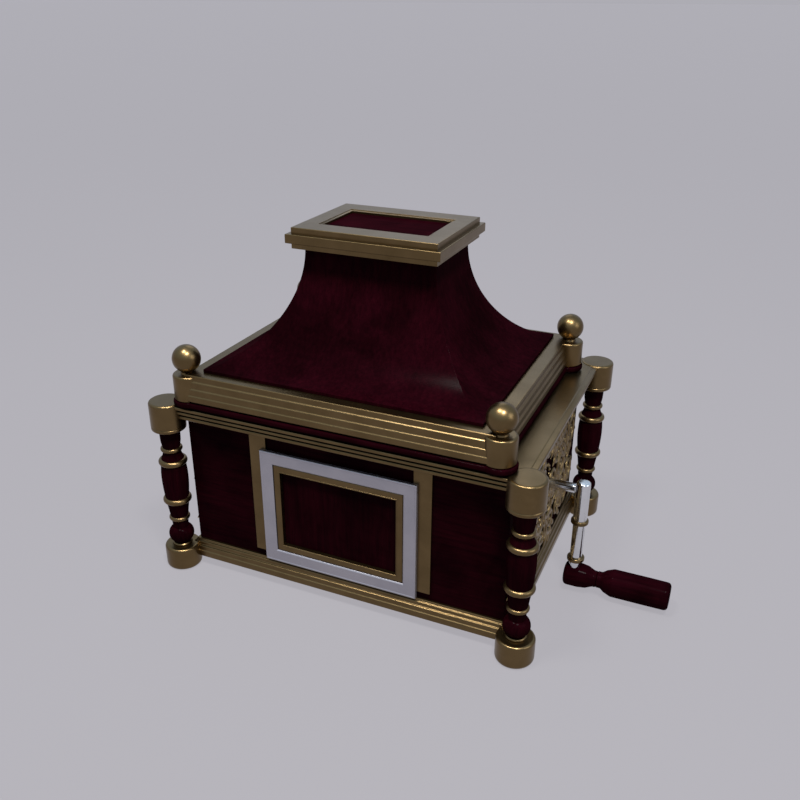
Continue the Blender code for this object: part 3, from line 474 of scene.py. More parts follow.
def newTree(name, sizes):
    # a tree with named size inputs and a material; returns it, its inputs as wires and its output
    tree = bpy.data.node_groups.new(name, "GeometryNodeTree")
    tree.interface.new_socket("Geometry", in_out="OUTPUT", socket_type="NodeSocketGeometry")
    for label, value in sizes.items():
        kind = "NodeSocketInt" if isinstance(value, int) else "NodeSocketFloat"
        tree.interface.new_socket(label, in_out="INPUT", socket_type=kind)
    tree.interface.new_socket("Finish", in_out="INPUT", socket_type="NodeSocketMaterial")
    given = tree.nodes.new("NodeGroupInput")
    wires = {socket.name: Wire(socket) for socket in given.outputs if socket.name}
    result = tree.nodes.new("NodeGroupOutput")
    return tree, wires, result


def endTree(tree, wires, result, shape):
    solid = shape.node("GeometryNodeRealizeInstances", {}, {"Geometry": shape})
    dressed = shape.node(
        "GeometryNodeSetMaterial", {}, {"Geometry": solid, "Material": wires["Finish"]}
    )
    tree.links.new(dressed.socket, result.inputs[0])


def bakedTree(tree, sizes, finish):
    # sets the inputs by their identifiers, evaluates once and returns a plain mesh
    carrier = bpy.data.objects.new(tree.name + "_carrier", bpy.data.meshes.new(tree.name))
    bpy.context.scene.collection.objects.link(carrier)
    modifier = carrier.modifiers.new("make", "NODES")
    modifier.node_group = tree
    given = [item for item in tree.interface.items_tree if item.in_out == "INPUT"]
    named = {item.name: item.identifier for item in given}
    for label, value in sizes.items():
        modifier[named[label]] = value
    modifier[named["Finish"]] = finish
    bpy.context.view_layer.update()
    graph = bpy.context.evaluated_depsgraph_get()
    mesh = bpy.data.meshes.new_from_object(carrier.evaluated_get(graph))
    carrier.modifiers.remove(modifier)
    bpy.data.objects.remove(carrier)
    return mesh


columnSizes = {
    "neckRadius": 0.0108,
    # the turning under the neck: radius, share of the height
    "outline": (
        (0.0102, 0.900), (0.0093, 0.865), (0.0090, 0.820), (0.0098, 0.790), (0.0112, 0.765),
        (0.0126, 0.745), (0.0128, 0.720), (0.0131, 0.690), (0.0137, 0.645), (0.0139, 0.600),
        (0.0138, 0.550), (0.0134, 0.500), (0.0128, 0.450), (0.0124, 0.420), (0.0121, 0.385),
        (0.0113, 0.350), (0.0105, 0.315), (0.0099, 0.280), (0.0094, 0.255), (0.0090, 0.220),
        (0.0086, 0.198), (0.0084, 0.178),
    ),
    # each brass ring: share of the height, radius, half its thickness
    "rings": (
        (0.838, 0.0114, 0.0026),
        (0.732, 0.0150, 0.0034),
        (0.402, 0.0150, 0.0034),
        (0.237, 0.0111, 0.0026),
    ),
    "bulbHeight": 0.088,
    "bulbRadius": 0.0134,
    "bulbHalf": 0.0092,
    "bulbTurn": 72,
    "footRadius": 0.0080,
    "footShare": 0.012,
    "collarRadius": 0.0106,
    "collarTop": 0.0024,
    "collarMiddle": 0.0014,
    "steps": 56,
}


def columnWood(low, high, sizes):
    # the turned wood from the cap down to the collar, as (radius, height)
    span = high - low

    def at(share):
        return low + share * span

    neck = sizes["neckRadius"]
    profile = [(0.0, high), (neck, high), (neck * 0.97, at(0.93))]
    profile += [(radius, at(share)) for radius, share in sizes["outline"]]
    bulb = sizes["bulbRadius"]
    middle = at(sizes["bulbHeight"])
    for step in range(13):
        angle = math.radians(sizes["bulbTurn"] * (1 - step / 6))
        rise = sizes["bulbHalf"] * math.sin(angle)
        profile.append((bulb * 0.44 + bulb * 0.56 * math.cos(angle), middle + rise))
    profile += [(sizes["footRadius"], at(sizes["footShare"])), (0.0, at(sizes["footShare"]))]
    return profile


def ringBand(radius, minor, height, bite=0.0018):
    # a rounded brass ring, closed, sunk a little into the wood
    band = []
    for step in range(13):
        angle = math.radians(90 - 180 * step / 12)
        band.append((radius - minor + minor * math.cos(angle), height + minor * math.sin(angle)))
    inner, half = radius - minor - bite, minor * 0.9
    return [(inner, height + half)] + band + [(inner, height - half), (inner, height + half)]


seat = 0.0001  # how far a piece stands off what it is seated on
for corner in corners:
    node = "column_" + corner
    low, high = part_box(node)
    steps = columnSizes["steps"]
    wood = drumShape(node, columnWood(low.z, high.z, columnSizes), steps)
    pieceOf(node + "_wood", *wood, lacquerUp, "case", "lacquer", node)
    span = high.z - low.z
    bands = [
        drumShape(node, ringBand(radius, minor, low.z + share * span), steps)
        for share, radius, minor in columnSizes["rings"]
    ]
    radius, top = columnSizes["collarRadius"], low.z + columnSizes["collarTop"]
    collar = rounded(
        [
            (0.0, top, 0),
            (radius * 0.90, top, 0.0008),
            (radius, low.z + columnSizes["collarMiddle"], 0.0006),
            (radius, low.z + seat, 0),
            (0.0, low.z + seat, 0),
        ],
        closed=False,
    )
    bands.append(drumShape(node, collar, steps))
    pieceOf(node + "_rings", *joined(*bands), brass, "case", "brass", node)

footSizes = {"topEdge": 0.0032, "bottomEdge": 0.0046, "steps": 64}
capSizes = {
    "topEdge": 0.0030,
    "lipHeight": 0.0042,
    "lipEdge": 0.0030,
    "lipTurn": 0.0012,
    "groove": 0.0006,
    "underside": 0.0042,
    "steps": 64,
}
for corner in corners:
    node = "foot_" + corner
    low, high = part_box(node)
    radius = radiusOf(node)
    outline = rounded(
        [
            (0.0, high.z, 0),
            (radius, high.z, footSizes["topEdge"]),
            (radius, low.z, footSizes["bottomEdge"]),
            (0.0, low.z, 0),
        ],
        closed=False,
        steps=7,
    )
    shape = drumShape(node, outline, footSizes["steps"])
    pieceOf(node + "_brass", *shape, brass, "case", "brass", node)

    node = "cap_" + corner
    low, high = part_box(node)
    radius = radiusOf(node)
    lip = low.z + capSizes["lipHeight"]
    groove = capSizes["groove"]
    outline = rounded(
        [
            (0.0, high.z, 0),
            (radius, high.z, capSizes["topEdge"]),
            (radius, lip + groove * 2, 0.0003),
            (radius - groove, lip + groove, 0),
            (radius - groove * 0.2, lip, 0.0004),
            (radius - groove * 0.2, low.z + capSizes["lipTurn"], capSizes["lipEdge"]),
            (radius - capSizes["underside"], low.z, 0.0010),
            (0.0, low.z, 0),
        ],
        closed=False,
        steps=6,
    )
    shape = drumShape(node, outline, capSizes["steps"])
    pieceOf(node + "_brass", *shape, brass, "case", "brass", node)

finialSizes = {
    "drumShare": 0.476,
    "topEdge": 0.0028,
    "bottomEdge": 0.0012,
    "neckRadius": 0.0072,
    "neckHeight": 0.0016,
    "ballShare": 0.508,
    "steps": 64,
}
for corner in corners:
    node = "finial_" + corner
    low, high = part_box(node)
    radius = radiusOf(node)
    tall = high.z - low.z
    drumTop = low.z + tall * finialSizes["drumShare"]
    ball = tall * finialSizes["ballShare"] / 2
    outline = rounded(
        [
            (finialSizes["neckRadius"], drumTop, 0),
            (radius, drumTop, finialSizes["topEdge"]),
            (radius, low.z + seat, finialSizes["bottomEdge"]),
            (0.0, low.z + seat, 0),
        ],
        closed=False,
        steps=6,
    )
    sphere = []
    for step in range(25):
        angle = math.radians(90 - 150 * step / 24)
        sphere.append((ball * math.cos(angle), high.z - ball + ball * math.sin(angle)))
    sphere[0] = (0.0, high.z)
    neck = (finialSizes["neckRadius"] * 0.92, drumTop + finialSizes["neckHeight"])
    shape = drumShape(node, sphere + [neck] + outline, finialSizes["steps"])
    pieceOf(node + "_brass", *shape, brass, "lid", "brass", node)
print("columns, feet, caps and finials turned")


def stepped(reach, height, stairs, back, edge):
    # a stair of (outward share, height share) corners with soft nosings, closed at the back
    corners2d = [(back, 0.0, 0)]
    for outward, up in stairs:
        corners2d.append((reach * outward, height * up, edge))
    corners2d.append((back, height, 0))
    return rounded(corners2d, closed=True, steps=3)


baseSizes = {
    "edge": 0.0014,
    "stairs": (
        (1.00, 0.00), (1.00, 0.36), (0.84, 0.40), (0.84, 0.64), (0.58, 0.68), (0.58, 0.86),
        (0.34, 0.90), (0.34, 1.00),
    ),
}
caseHalfY = -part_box("front_panel")[0].y
low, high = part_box("case_base_moulding")
reach = (high.y - low.y) / 2 - caseHalfY
section = stepped(reach, high.z - low.z, baseSizes["stairs"], seat, baseSizes["edge"])
shape = sweptShape((caseHalfX, caseHalfY), section, (caseMiddleX, 0, low.z))
pieceOf("base_moulding_brass", *shape, brass, "case", "brass", "case_base_moulding", creaseAngle=30)

topSizes = {
    "edge": 0.0016,
    "ledge": 0.0140,
    "stairs": (
        (0.30, 0.00), (0.80, 0.02), (0.80, 0.24), (0.50, 0.28), (0.50, 0.36), (0.90, 0.40),
        (0.90, 0.58), (0.60, 0.62), (0.60, 0.70), (1.00, 0.74), (1.00, 0.95), (0.72, 0.97),
        (0.68, 1.00),
    ),
}
low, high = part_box("case_top_moulding")
reach = (high.y - low.y) / 2 - caseHalfY
section = stepped(reach, high.z - low.z, topSizes["stairs"], -topSizes["ledge"], topSizes["edge"])
shape = sweptShape((caseHalfX, caseHalfY), section, (caseMiddleX, 0, low.z))
pieceOf("top_moulding_brass", *shape, brass, "case", "brass", "case_top_moulding", creaseAngle=30)

lidSizes = {
    "edge": 0.0016,
    "width": 0.0250,
    "stairs": (
        (-0.0022, 0.00), (0.0, 0.07), (0.0, 0.26), (-0.0013, 0.30), (-0.0013, 0.50),
        (-0.0028, 0.54), (-0.0028, 0.76), (-0.0045, 0.80), (-0.0045, 1.00),
    ),
}
low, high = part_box("lid_moulding")
lidMiddle = (low + high) / 2
section = stepped(1.0, high.z - low.z, lidSizes["stairs"], -lidSizes["width"], lidSizes["edge"])
half = ((high.x - low.x) / 2, (high.y - low.y) / 2)
shape = sweptShape(half, section, (lidMiddle.x, lidMiddle.y, low.z))
pieceOf("lid_moulding_brass", *shape, brass, "lid", "brass", "lid_moulding", creaseAngle=30)

boardSizes = {
    "cornerRadius": 0.0120,
    "edge": 0.0021,
    "opening": 0.0450,
    "openingCorner": 0.0040,
    "overhang": 0.0012,
    "underFinial": 0.0016,
    "cornerSteps": 10,
    "discSteps": 48,
}


def roundedRing(half, radius, steps):
    # points round a rectangle with rounded corners
    ring = []
    for corner, (signX, signY) in enumerate(((1, 1), (-1, 1), (-1, -1), (1, -1))):
        for step in range(steps + 1):
            angle = math.pi / 2 * (corner + step / steps)
            across = signX * (half[0] - radius) + radius * math.cos(angle)
            ring.append((across, signY * (half[1] - radius) + radius * math.sin(angle)))
    return ring


def stackedShape(rings, place):
    # rings of equal count joined one after the other, the last back to the first
    points = [Vector(p) + Vector(place) for ring in rings for p in ring]
    count = len(rings[0])
    faces = []
    for level in range(len(rings)):
        start, end = level * count, (level + 1) % len(rings) * count
        for i in range(count):
            j = (i + 1) % count
            faces.append([start + i, start + j, end + j, end + i])
    return points, faces


low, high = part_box("lid_board")
mouldingLow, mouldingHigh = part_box("lid_moulding")
half = ((mouldingHigh.x - mouldingLow.x) / 2 + boardSizes["overhang"], (high.y - low.y) / 2)
tall, edge = high.z - low.z, boardSizes["edge"]
levels = []
for turn in range(5):
    angle = math.pi / 2 * turn / 4
    levels.append((edge * (1 - math.sin(angle)), edge * (1 - math.cos(angle))))
levels += [(inset, tall - up) for inset, up in reversed(levels)]
rings = []
for inset, up in levels:
    insetHalf, radius = (half[0] - inset, half[1] - inset), boardSizes["cornerRadius"] - inset
    ring = roundedRing(insetHalf, radius, boardSizes["cornerSteps"])
    rings.append([(x, y, up) for x, y in ring])
hole = (half[0] - boardSizes["opening"], half[1] - boardSizes["opening"])
ring = roundedRing(hole, boardSizes["openingCorner"], boardSizes["cornerSteps"])
for up in (tall, 0.0):
    rings.append([(x, y, up) for x, y in ring])
shapes = [stackedShape(rings, ((low.x + high.x) / 2, (low.y + high.y) / 2, low.z))]
for corner in corners:
    middle = middleOf("finial_" + corner)
    radius = radiusOf("finial_" + corner) + boardSizes["underFinial"]
    outline = [(0.0, tall, 0), (radius, tall, edge), (radius, 0.0, edge), (0.0, 0.0, 0)]
    disc = rounded(outline, closed=False)
    shapes.append(turnedShape(disc, (middle.x, middle.y, low.z), boardSizes["discSteps"]))
pieceOf("lid_board_lacquered", *joined(*shapes), lacquerAlong, "lid", "lacquer", "lid_board")

capTopSizes = {
    "edge": 0.0010,
    "step": 0.0045,
    "tiers": (0.0055, 0.0091),
    "rim": 0.0060,
    "bead": 0.0024,
    "beadDrop": 0.0012,
    "clearance": 0.0003,
}
low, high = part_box("roof_cap")
panelLow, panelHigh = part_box("roof_cap_panel")
half = ((high.x - low.x) / 2, (high.y - low.y) / 2)
innerHalf = (
    (panelHigh.x - panelLow.x) / 2 + capTopSizes["clearance"],
    (panelHigh.y - panelLow.y) / 2 + capTopSizes["clearance"],
)
first = capTopSizes["tiers"][0]
second = first + capTopSizes["tiers"][1]
tall = high.z - low.z
step, edge = capTopSizes["step"], capTopSizes["edge"]
outside = rounded(
    [
        (-step, 0.0, 0),
        (-step, first, 0),
        (0.0, first, edge),
        (0.0, second, edge),
        (-step, second, 0),
        (-step, tall, edge),
        (-step - capTopSizes["rim"], tall, 0),
    ],
    closed=False,
    steps=4,
)


def openedShape(outline, innerOutline, half, innerHalf, place):
    # an outside section on one rectangle joined to an inside section on another
    spots = [(half[0] + across, half[1] + across, up) for across, up in outline]
    spots += [(innerHalf[0] + across, innerHalf[1] + across, up) for across, up in innerOutline]
    rings = [[(x, y, up), (-x, y, up), (-x, -y, up), (x, -y, up)] for x, y, up in spots]
    return stackedShape(rings, place)


bead, drop = capTopSizes["bead"], capTopSizes["beadDrop"]
innerOutline = rounded(
    [
        (capTopSizes["rim"], tall, 0),
        (bead, tall, 0.0006),
        (bead, tall - drop / 2, 0.0003),
        (0.0, tall - drop, 0.0004),
        (0.0, 0.0, 0),
    ],
    closed=False,
)
place = ((low.x + high.x) / 2, (low.y + high.y) / 2, low.z)
shape = openedShape(outside, innerOutline, half, innerHalf, place)
pieceOf("roof_cap_brass", *shape, brass, "lid", "brass", "roof_cap", creaseAngle=30)
print("lid board and roof cap made")


stripEdge = 0.0007
for side in ("left", "right"):
    node = "front_strip_" + side
    shape = boardShape(*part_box(node), stripEdge, 3)
    pieceOf(node + "_brass", *shape, brass, "case", "brass", node)

# sections of the two frames: across from the edge named, depth, rounding
silverSizes = {
    "border": 0.0140,
    "innerEdge": ((0.0, 0.0012, 0.0005), (0.0012, 0.0004, 0.0004), (0.0020, 0.0004, 0.0003)),
    "outerEdge": (
        (-0.0022, 0.0004, 0.0003),
        (-0.0016, 0.0, 0.0004),
        (-0.0006, 0.0, 0.0006),
        (0.0, 0.0008, 0.0006),
    ),
}
innerFrameSizes = {
    "border": 0.0075,
    "innerEdge": (
        (0.0, 0.0006, 0.0006),
        (0.0005, 0.0, 0.0005),
        (0.0012, 0.0, 0.0005),
        (0.0015, 0.0006, 0.0002),
    ),
    "outerEdge": ((-0.0009, 0.0006, 0.0004), (0.0, 0.0015, 0.0006)),
}


def frontFrame(node, sizes):
    low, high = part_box(node)
    border, thick = sizes["border"], high.y - low.y
    section = [(0.0, thick, 0), (-border, thick, 0)]
    section += [(across - border, depth, radius) for across, depth, radius in sizes["innerEdge"]]
    section += sizes["outerEdge"]
    half = ((high.x - low.x) / 2, (high.z - low.z) / 2)
    middle = ((low.x + high.x) / 2, low.y, (low.z + high.z) / 2)
    return sweptShape(half, rounded(section, steps=3), middle, upright=True)


shape = frontFrame("silver_frame", silverSizes)
pieceOf("silver_frame_plate", *shape, silver, "case", "silver", "silver_frame", creaseAngle=30)
shape = frontFrame("brass_frame", innerFrameSizes)
pieceOf("brass_frame_moulded", *shape, brass, "case", "brass", "brass_frame", creaseAngle=30)
print("front frames made")


crankSizes = {
    "upper": 0.00725,
    "lower": 0.00640,
    "ring": 0.00905,
    "ringHalf": 0.0021,
    "ringPlaces": (0.42, 0.835),
    "ringBite": 0.0006,
    "shoulder": 0.0004,
    "lowEnd": 0.0002,
    "steps": 48,
}
low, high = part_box("crank_arm")
length = high.z - low.z
joint = high.z - length * crankSizes["ringPlaces"][0]
lowEnd = low.z + crankSizes["lowEnd"]
rod = rounded(
    [
        (0.0, high.z, 0),
        (crankSizes["upper"], high.z, 0.0026),
        (crankSizes["upper"], joint, 0.0004),
        (crankSizes["lower"], joint - crankSizes["shoulder"], 0.0004),
        (crankSizes["lower"], lowEnd, 0.0008),
        (0.0, lowEnd, 0),
    ],
    closed=False,
    steps=6,
)
shape = drumShape("crank_arm", rod, crankSizes["steps"])
pieceOf("crank_arm_rod", *shape, chrome, "crank", "chrome", "crank_arm")
bands = []
bore, ringHalf = crankSizes["lower"] - crankSizes["ringBite"], crankSizes["ringHalf"]
for share in crankSizes["ringPlaces"]:
    centre = high.z - length * share
    band = rounded(
        [
            (bore, centre + ringHalf, 0),
            (crankSizes["ring"], centre + ringHalf, 0.0012),
            (crankSizes["ring"], centre - ringHalf, 0.0012),
            (bore, centre - ringHalf, 0),
        ],
        closed=False,
        steps=5,
    )
    bands.append(drumShape("crank_arm", band + [band[0]], crankSizes["steps"]))
pieceOf("crank_arm_rings", *joined(*bands), brass, "crank", "brass", "crank_arm")

low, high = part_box("crank_shaft")
shaftRadius = (high.y - low.y) / 2
outline = rounded(
    [
        (0.0, high.x, 0),
        (shaftRadius, high.x, 0.0004),
        (shaftRadius, low.x, 0.0010),
        (0.0, low.x, 0),
    ],
    closed=False,
)
shape = spindleShape("crank_shaft", outline, crankSizes["steps"])
pieceOf("crank_shaft_rod", *shape, chrome, "crank", "chrome", "crank_shaft")

hubSizes = {"neck": 0.0085, "shoulder": 0.0118, "end": 0.0005, "steps": 56}
low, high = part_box("crank_hub")
radius, long = (high.z - low.z) / 2, high.x - low.x
outline = rounded(
    [
        (0.0, high.x, 0),
        (hubSizes["neck"], high.x, 0.0012),
        (hubSizes["neck"] * 1.02, high.x - long * 0.10, 0.0050),
        (hubSizes["shoulder"], high.x - long * 0.30, 0.0040),
        (radius, low.x + long * 0.46, 0.0060),
        (radius, low.x + hubSizes["end"], 0.0050),
        (0.0, low.x, 0),
    ],
    closed=False,
    steps=8,
)
shape = spindleShape("crank_hub", outline, hubSizes["steps"])
pieceOf("crank_hub_turned", *shape, lacquerAlong, "crank", "lacquer", "crank_hub")

gripSizes = {
    "neck": 0.0086,
    "neckLength": 0.0046,
    "swellLength": 0.0086,
    "bodyStart": 0.0160,
    "bore": 0.0037,
    "blindEnd": 0.0110,
    "steps": 60,
}
low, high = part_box("crank_grip")
radius, long = (high.z - low.z) / 2, high.x - low.x
outline = rounded(
    [
        (0.0, high.x, 0),
        (radius * 0.985, high.x, 0.0046),
        (radius, high.x - long * 0.30, 0.0200),
        (radius, low.x + gripSizes["bodyStart"], 0.0060),
        (radius * 0.80, low.x + gripSizes["swellLength"], 0.0040),
        (gripSizes["neck"], low.x + gripSizes["neckLength"], 0.0030),
        (gripSizes["neck"], low.x + seat, 0.0006),
        (gripSizes["bore"], low.x + seat, 0),
        (gripSizes["bore"], high.x - gripSizes["blindEnd"], 0),
        (0.0, high.x - gripSizes["blindEnd"], 0),
    ],
    closed=False,
    steps=8,
)
shape = spindleShape("crank_grip", outline, gripSizes["steps"])
pieceOf("crank_grip_turned", *shape, lacquerAlong, "grip", "lacquer", "crank_grip")

bushSizes = {"clearance": 0.0002, "wall": 0.0009, "mouth": 0.0006, "collarRise": 0.0013, "steps": 48}
low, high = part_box("shaft_bush")
radius = (high.z - low.z) / 2
bore = shaftRadius + bushSizes["clearance"]
panelFace = caseMiddleX + caseHalfX + seat
flange = high.x - bushSizes["collarRise"]
outline = rounded(
    [
        (bore, high.x - bushSizes["mouth"], 0),
        (bore + bushSizes["wall"], high.x, 0.0004),
        (radius * 0.62, high.x, 0.0010),
        (radius * 0.68, flange, 0.0004),
        (radius, flange, 0.0008),
        (radius, panelFace, 0.0002),
        (radius * 0.66, panelFace, 0),
        (radius * 0.66, low.x, 0.0004),
        (bore, low.x, 0),
    ],
    closed=False,
)
shape = spindleShape("shaft_bush", outline + [outline[0]], bushSizes["steps"])
pieceOf("shaft_bush_turned", *shape, brass, "case", "brass", "shaft_bush")
print("crank made")


# the roof shell by rule: a quarter turn of flare from a straight lip up to the neck
roofSizes = {
    "Half X": 0.1456,
    "Half Y": 0.12125,
    "Neck X": 0.0686,
    "Neck Y": 0.0443,
    "Height": 0.1170,
    "Lip": 0.0027,
    "Wall": 0.0036,
    "Corner": 0.0012,
    "Sections": 49,
}
turnsAround = 12  # four corners of three points
lipShare = 0.04  # of the way up the section, where the flare starts
flareIn, flareUp = 1.15, 0.92  # powers that pull the quarter circle inward and upward
roofTree, roof, roofOut = newTree("flared_roof", roofSizes)
one = roof["Half X"]
rows = roof["Sections"] * 2 + 1
gridValues = {"Size X": 1.0, "Size Y": 1.0, "Vertices X": turnsAround + 1, "Vertices Y": rows}
grid = one.node("GeometryNodeMeshGrid", {}, gridValues)
index = one.node("GeometryNodeInputIndex")
row = index % rows % (roof["Sections"] * 2)
around = (index / rows).of("FLOOR") % float(turnsAround)
back = row.maths("GREATER_THAN", row, roof["Sections"] - 0.5)
outerShare = row / (roof["Sections"] - 1)
innerShare = (roof["Sections"] * 2 - 1 - row) / (roof["Sections"] - 1)
share = outerShare * (1 - back) + innerShare * back
eased = share.maths("MAXIMUM", (share - lipShare) / (1 - lipShare), 0.0)
angle = eased * (math.pi / 2)
inward = angle.of("SINE") ** flareIn
rise = (1 - angle.of("COSINE")) ** flareUp
thickness = back * roof["Wall"]
halfX = roof["Half X"] - (roof["Half X"] - roof["Neck X"]) * inward - thickness
halfY = roof["Half Y"] - (roof["Half Y"] - roof["Neck Y"]) * inward - thickness
lipRise = share.maths("MINIMUM", share / lipShare, 1.0) * roof["Lip"]
tallness = lipRise + rise * (roof["Height"] - roof["Lip"])
lowered = back * (1 - share.maths("GREATER_THAN", share, 0.999)) * roof["Lip"]
tallness = tallness.maths("MAXIMUM", tallness - lowered, 0.0)
corner = (around / 3).of("FLOOR")
within = around - corner * 3
bearing = (corner + 0.5) * (math.pi / 2)
signX = bearing.of("COSINE").of("SIGN")
signY = bearing.of("SINE").of("SIGN")
lean = (corner + within / 2) * (math.pi / 2)
across = signX * (halfX - roof["Corner"]) + lean.of("COSINE") * roof["Corner"]
along = signY * (halfY - roof["Corner"]) + lean.of("SINE") * roof["Corner"]
spot = one.vector(X=across, Y=along, Z=tallness)
moved = one.node("GeometryNodeSetPosition", {}, {"Geometry": grid, "Position": spot})
merged = one.node("GeometryNodeMergeByDistance", {}, {"Geometry": moved, "Distance": 1e-6})
endTree(roofTree, roof, roofOut, merged)
mesh = bakedTree(roofTree, roofSizes, lacquerUp)
low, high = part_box("roof_shell")
mesh.transform(Matrix.Translation(((low.x + high.x) / 2, (low.y + high.y) / 2, low.z)))
shell = bmesh.new()
shell.from_mesh(mesh)
bmesh.ops.recalc_face_normals(shell, faces=shell.faces)
shell.to_mesh(mesh)
shell.free()
settle(
    "roof_shell_flared", mesh, lacquerUp, "lid", "lacquer", "roof_shell", creaseAngle=30, evened=True
)
print("roof shell made:", len(mesh.polygons), "faces")


# gilded scrollwork on both ends
scrollSizes = {
    "Length": 0.1960,
    "Height": 0.1300,
    "Columns": 7,
    "Rows": 5,
    "Scroll": 0.0146,
    "Stem": 0.0025,
    "Leaf": 0.0185,
    "Boss": 0.0165,
    "Boss Y": 0.0,
    "Boss Z": 0.0,
    "Seed": 7,
}


def tubeOf(curve, thickness, sides, flat=1.0):
    # a tube along a curve, with a closed end and a flattened section
    ring = curve.node("GeometryNodeCurvePrimitiveCircle", {}, {0: sides, 4: 1.0})
    ring = curve.node("GeometryNodeTransform", {}, {"Geometry": ring, "Scale": (1.0, flat, 1.0)})
    values = {"Curve": curve, "Profile Curve": ring, "Scale": thickness, "Fill Caps": True}
    return curve.node("GeometryNodeCurveToMesh", {}, values)


def gathered(first, *others):
    tree = first.socket.id_data
    join = tree.nodes.new("GeometryNodeJoinGeometry")
    for wire in (first, *others):
        tree.links.new(wire.socket, join.inputs[0])
    return Wire(join.outputs[0])


def leafOf(wires, length, bend, thick, wide):
    # a leaf blade: a spindle on a bent line, flattened
    start = wires["Leaf"]
    bow = start.vector(X=start * length * 0.55, Y=start * bend)
    tip = start.vector(X=start * length, Y=start * bend * 0.35, Z=start * 0.02)
    values = {"Resolution": 10, "Start": (0, 0, 0), "Middle": bow, "End": tip}
    line = start.node("GeometryNodeCurveQuadraticBezier", {}, values)
    along = start.node("GeometryNodeSplineParameter")
    swell = ((along ** 0.75 * math.pi).of("SINE") * 0.94 + 0.06) * start * wide
    return tubeOf(line, swell, 8, thick)


def scrollOf(wires, reverse):
    # a tapering spiral stem that ends in a round eye, with leaves fanned from its start
    size = wires["Scroll"]
    values = {"Resolution": 30, "Rotations": 1.55, "Height": 0.0, "Reverse": reverse}
    values.update({"Start Radius": size * 0.20, "End Radius": size})
    spiral = size.node("GeometryNodeCurveSpiral", {}, values)
    along = size.node("GeometryNodeSplineParameter")
    stem = tubeOf(spiral, wires["Stem"] * (0.55 + along * 0.55), 10, 0.92)
    eye = size.node("GeometryNodeMeshIcoSphere", {}, {"Radius": size * 0.20, "Subdivisions": 2})
    parts = [stem, eye]
    flip = -1 if reverse else 1
    for turn, length, bend, wide in leafPlan:
        blade = leafOf(wires, length, bend * flip, 0.62, wide)
        radius = size * 0.78
        foot = math.radians(turn * 0.8 + 160)
        spot = size.vector(X=radius * math.cos(foot), Y=radius * math.sin(foot) * flip)
        around = (0.0, 0.0, (math.radians(turn) + math.pi) * flip)
        values = {"Geometry": blade, "Translation": spot, "Rotation": around}
        parts.append(size.node("GeometryNodeTransform", {}, values))
    return gathered(*parts)


# each leaf of a scroll: its turn in degrees, then length, bend and width as shares of a leaf
leafPlan = (
    (-58, 0.80, 0.24, 0.19),
    (-26, 1.00, 0.28, 0.21),
    (6, 1.12, 0.26, 0.22),
    (38, 1.00, 0.30, 0.21),
    (70, 0.84, 0.26, 0.19),
    (128, 0.72, 0.22, 0.17),
)


def randomOf(seed, least, most):
    # a random number for each point
    values = {2: least, 3: most, "Seed": seed}
    return seed.node("FunctionNodeRandomValue", {"data_type": "FLOAT"}, values, 1)


def scrollTree():
    tree, wires, result = newTree("scrollwork", scrollSizes)
    size = wires["Scroll"]
    grid = size.node(
        "GeometryNodeMeshGrid",
        {},
        {
            "Size X": wires["Length"] - size * 2.4,
            "Size Y": wires["Height"] - size * 2.2,
            "Vertices X": wires["Columns"],
            "Vertices Y": wires["Rows"],
        },
    )
    index = size.node("GeometryNodeInputIndex")
    column = (index / wires["Rows"]).of("FLOOR")
    row = index - column * wires["Rows"]
    odd = (column + row) % 2.0
    shift = size.vector(X=(row % 2.0 - 0.5) * size * 0.9)
    wander = size.node(
        "FunctionNodeRandomValue",
        {"data_type": "FLOAT_VECTOR"},
        {0: (-0.0016, -0.0012, -0.0004), 1: (0.0016, 0.0012, 0.0006), "Seed": wires["Seed"]},
    )
    spots = size.node("GeometryNodeSetPosition", {}, {"Geometry": grid, "Offset": shift + wander})
    place = size.node("GeometryNodeInputPosition")
    boss = size.vector(X=wires["Boss Y"], Y=wires["Boss Z"])
    apart = place.node("ShaderNodeVectorMath", {"operation": "DISTANCE"}, {0: place, 1: boss}, 1)
    near = apart.maths("LESS_THAN", apart, wires["Boss"] + size * 0.78)
    spots = size.node("GeometryNodeDeleteGeometry", {}, {"Geometry": spots, "Selection": near})
    kinds = []
    for reverse in (False, True):
        scroll = scrollOf(wires, reverse)
        kinds.append(size.node("GeometryNodeGeometryToInstance", {}, {"Geometry": scroll}))
    turn = randomOf(wires["Seed"] + 3, -0.35, 0.35)
    pose = size.vector(Z=(column + row * 2) * (math.pi / 2) + turn)
    scale = randomOf(wires["Seed"] + 5, 0.92, 1.14)
    placed = size.node(
        "GeometryNodeInstanceOnPoints",
        {},
        {
            "Points": spots,
            "Instance": gathered(*kinds),
            "Pick Instance": True,
            "Instance Index": odd,
            "Rotation": pose,
            "Scale": scale,
        },
    )
    # a wreath of berries round the crank's boss
    ring = size.node("GeometryNodeCurvePrimitiveCircle", {}, {0: 18, 4: wires["Boss"] + 0.0012})
    berry = size.node("GeometryNodeMeshIcoSphere", {}, {"Radius": 0.0021, "Subdivisions": 2})
    wreath = size.node("GeometryNodeInstanceOnPoints", {}, {"Points": ring, "Instance": berry})
    wreath = size.node("GeometryNodeTransform", {}, {"Geometry": wreath, "Translation": boss})
    whole = gathered(placed, wreath)
    # turned upright, to face along X
    values = {"Geometry": whole, "Rotation": (math.pi / 2, 0.0, math.pi / 2)}
    endTree(tree, wires, result, size.node("GeometryNodeTransform", {}, values))
    return tree


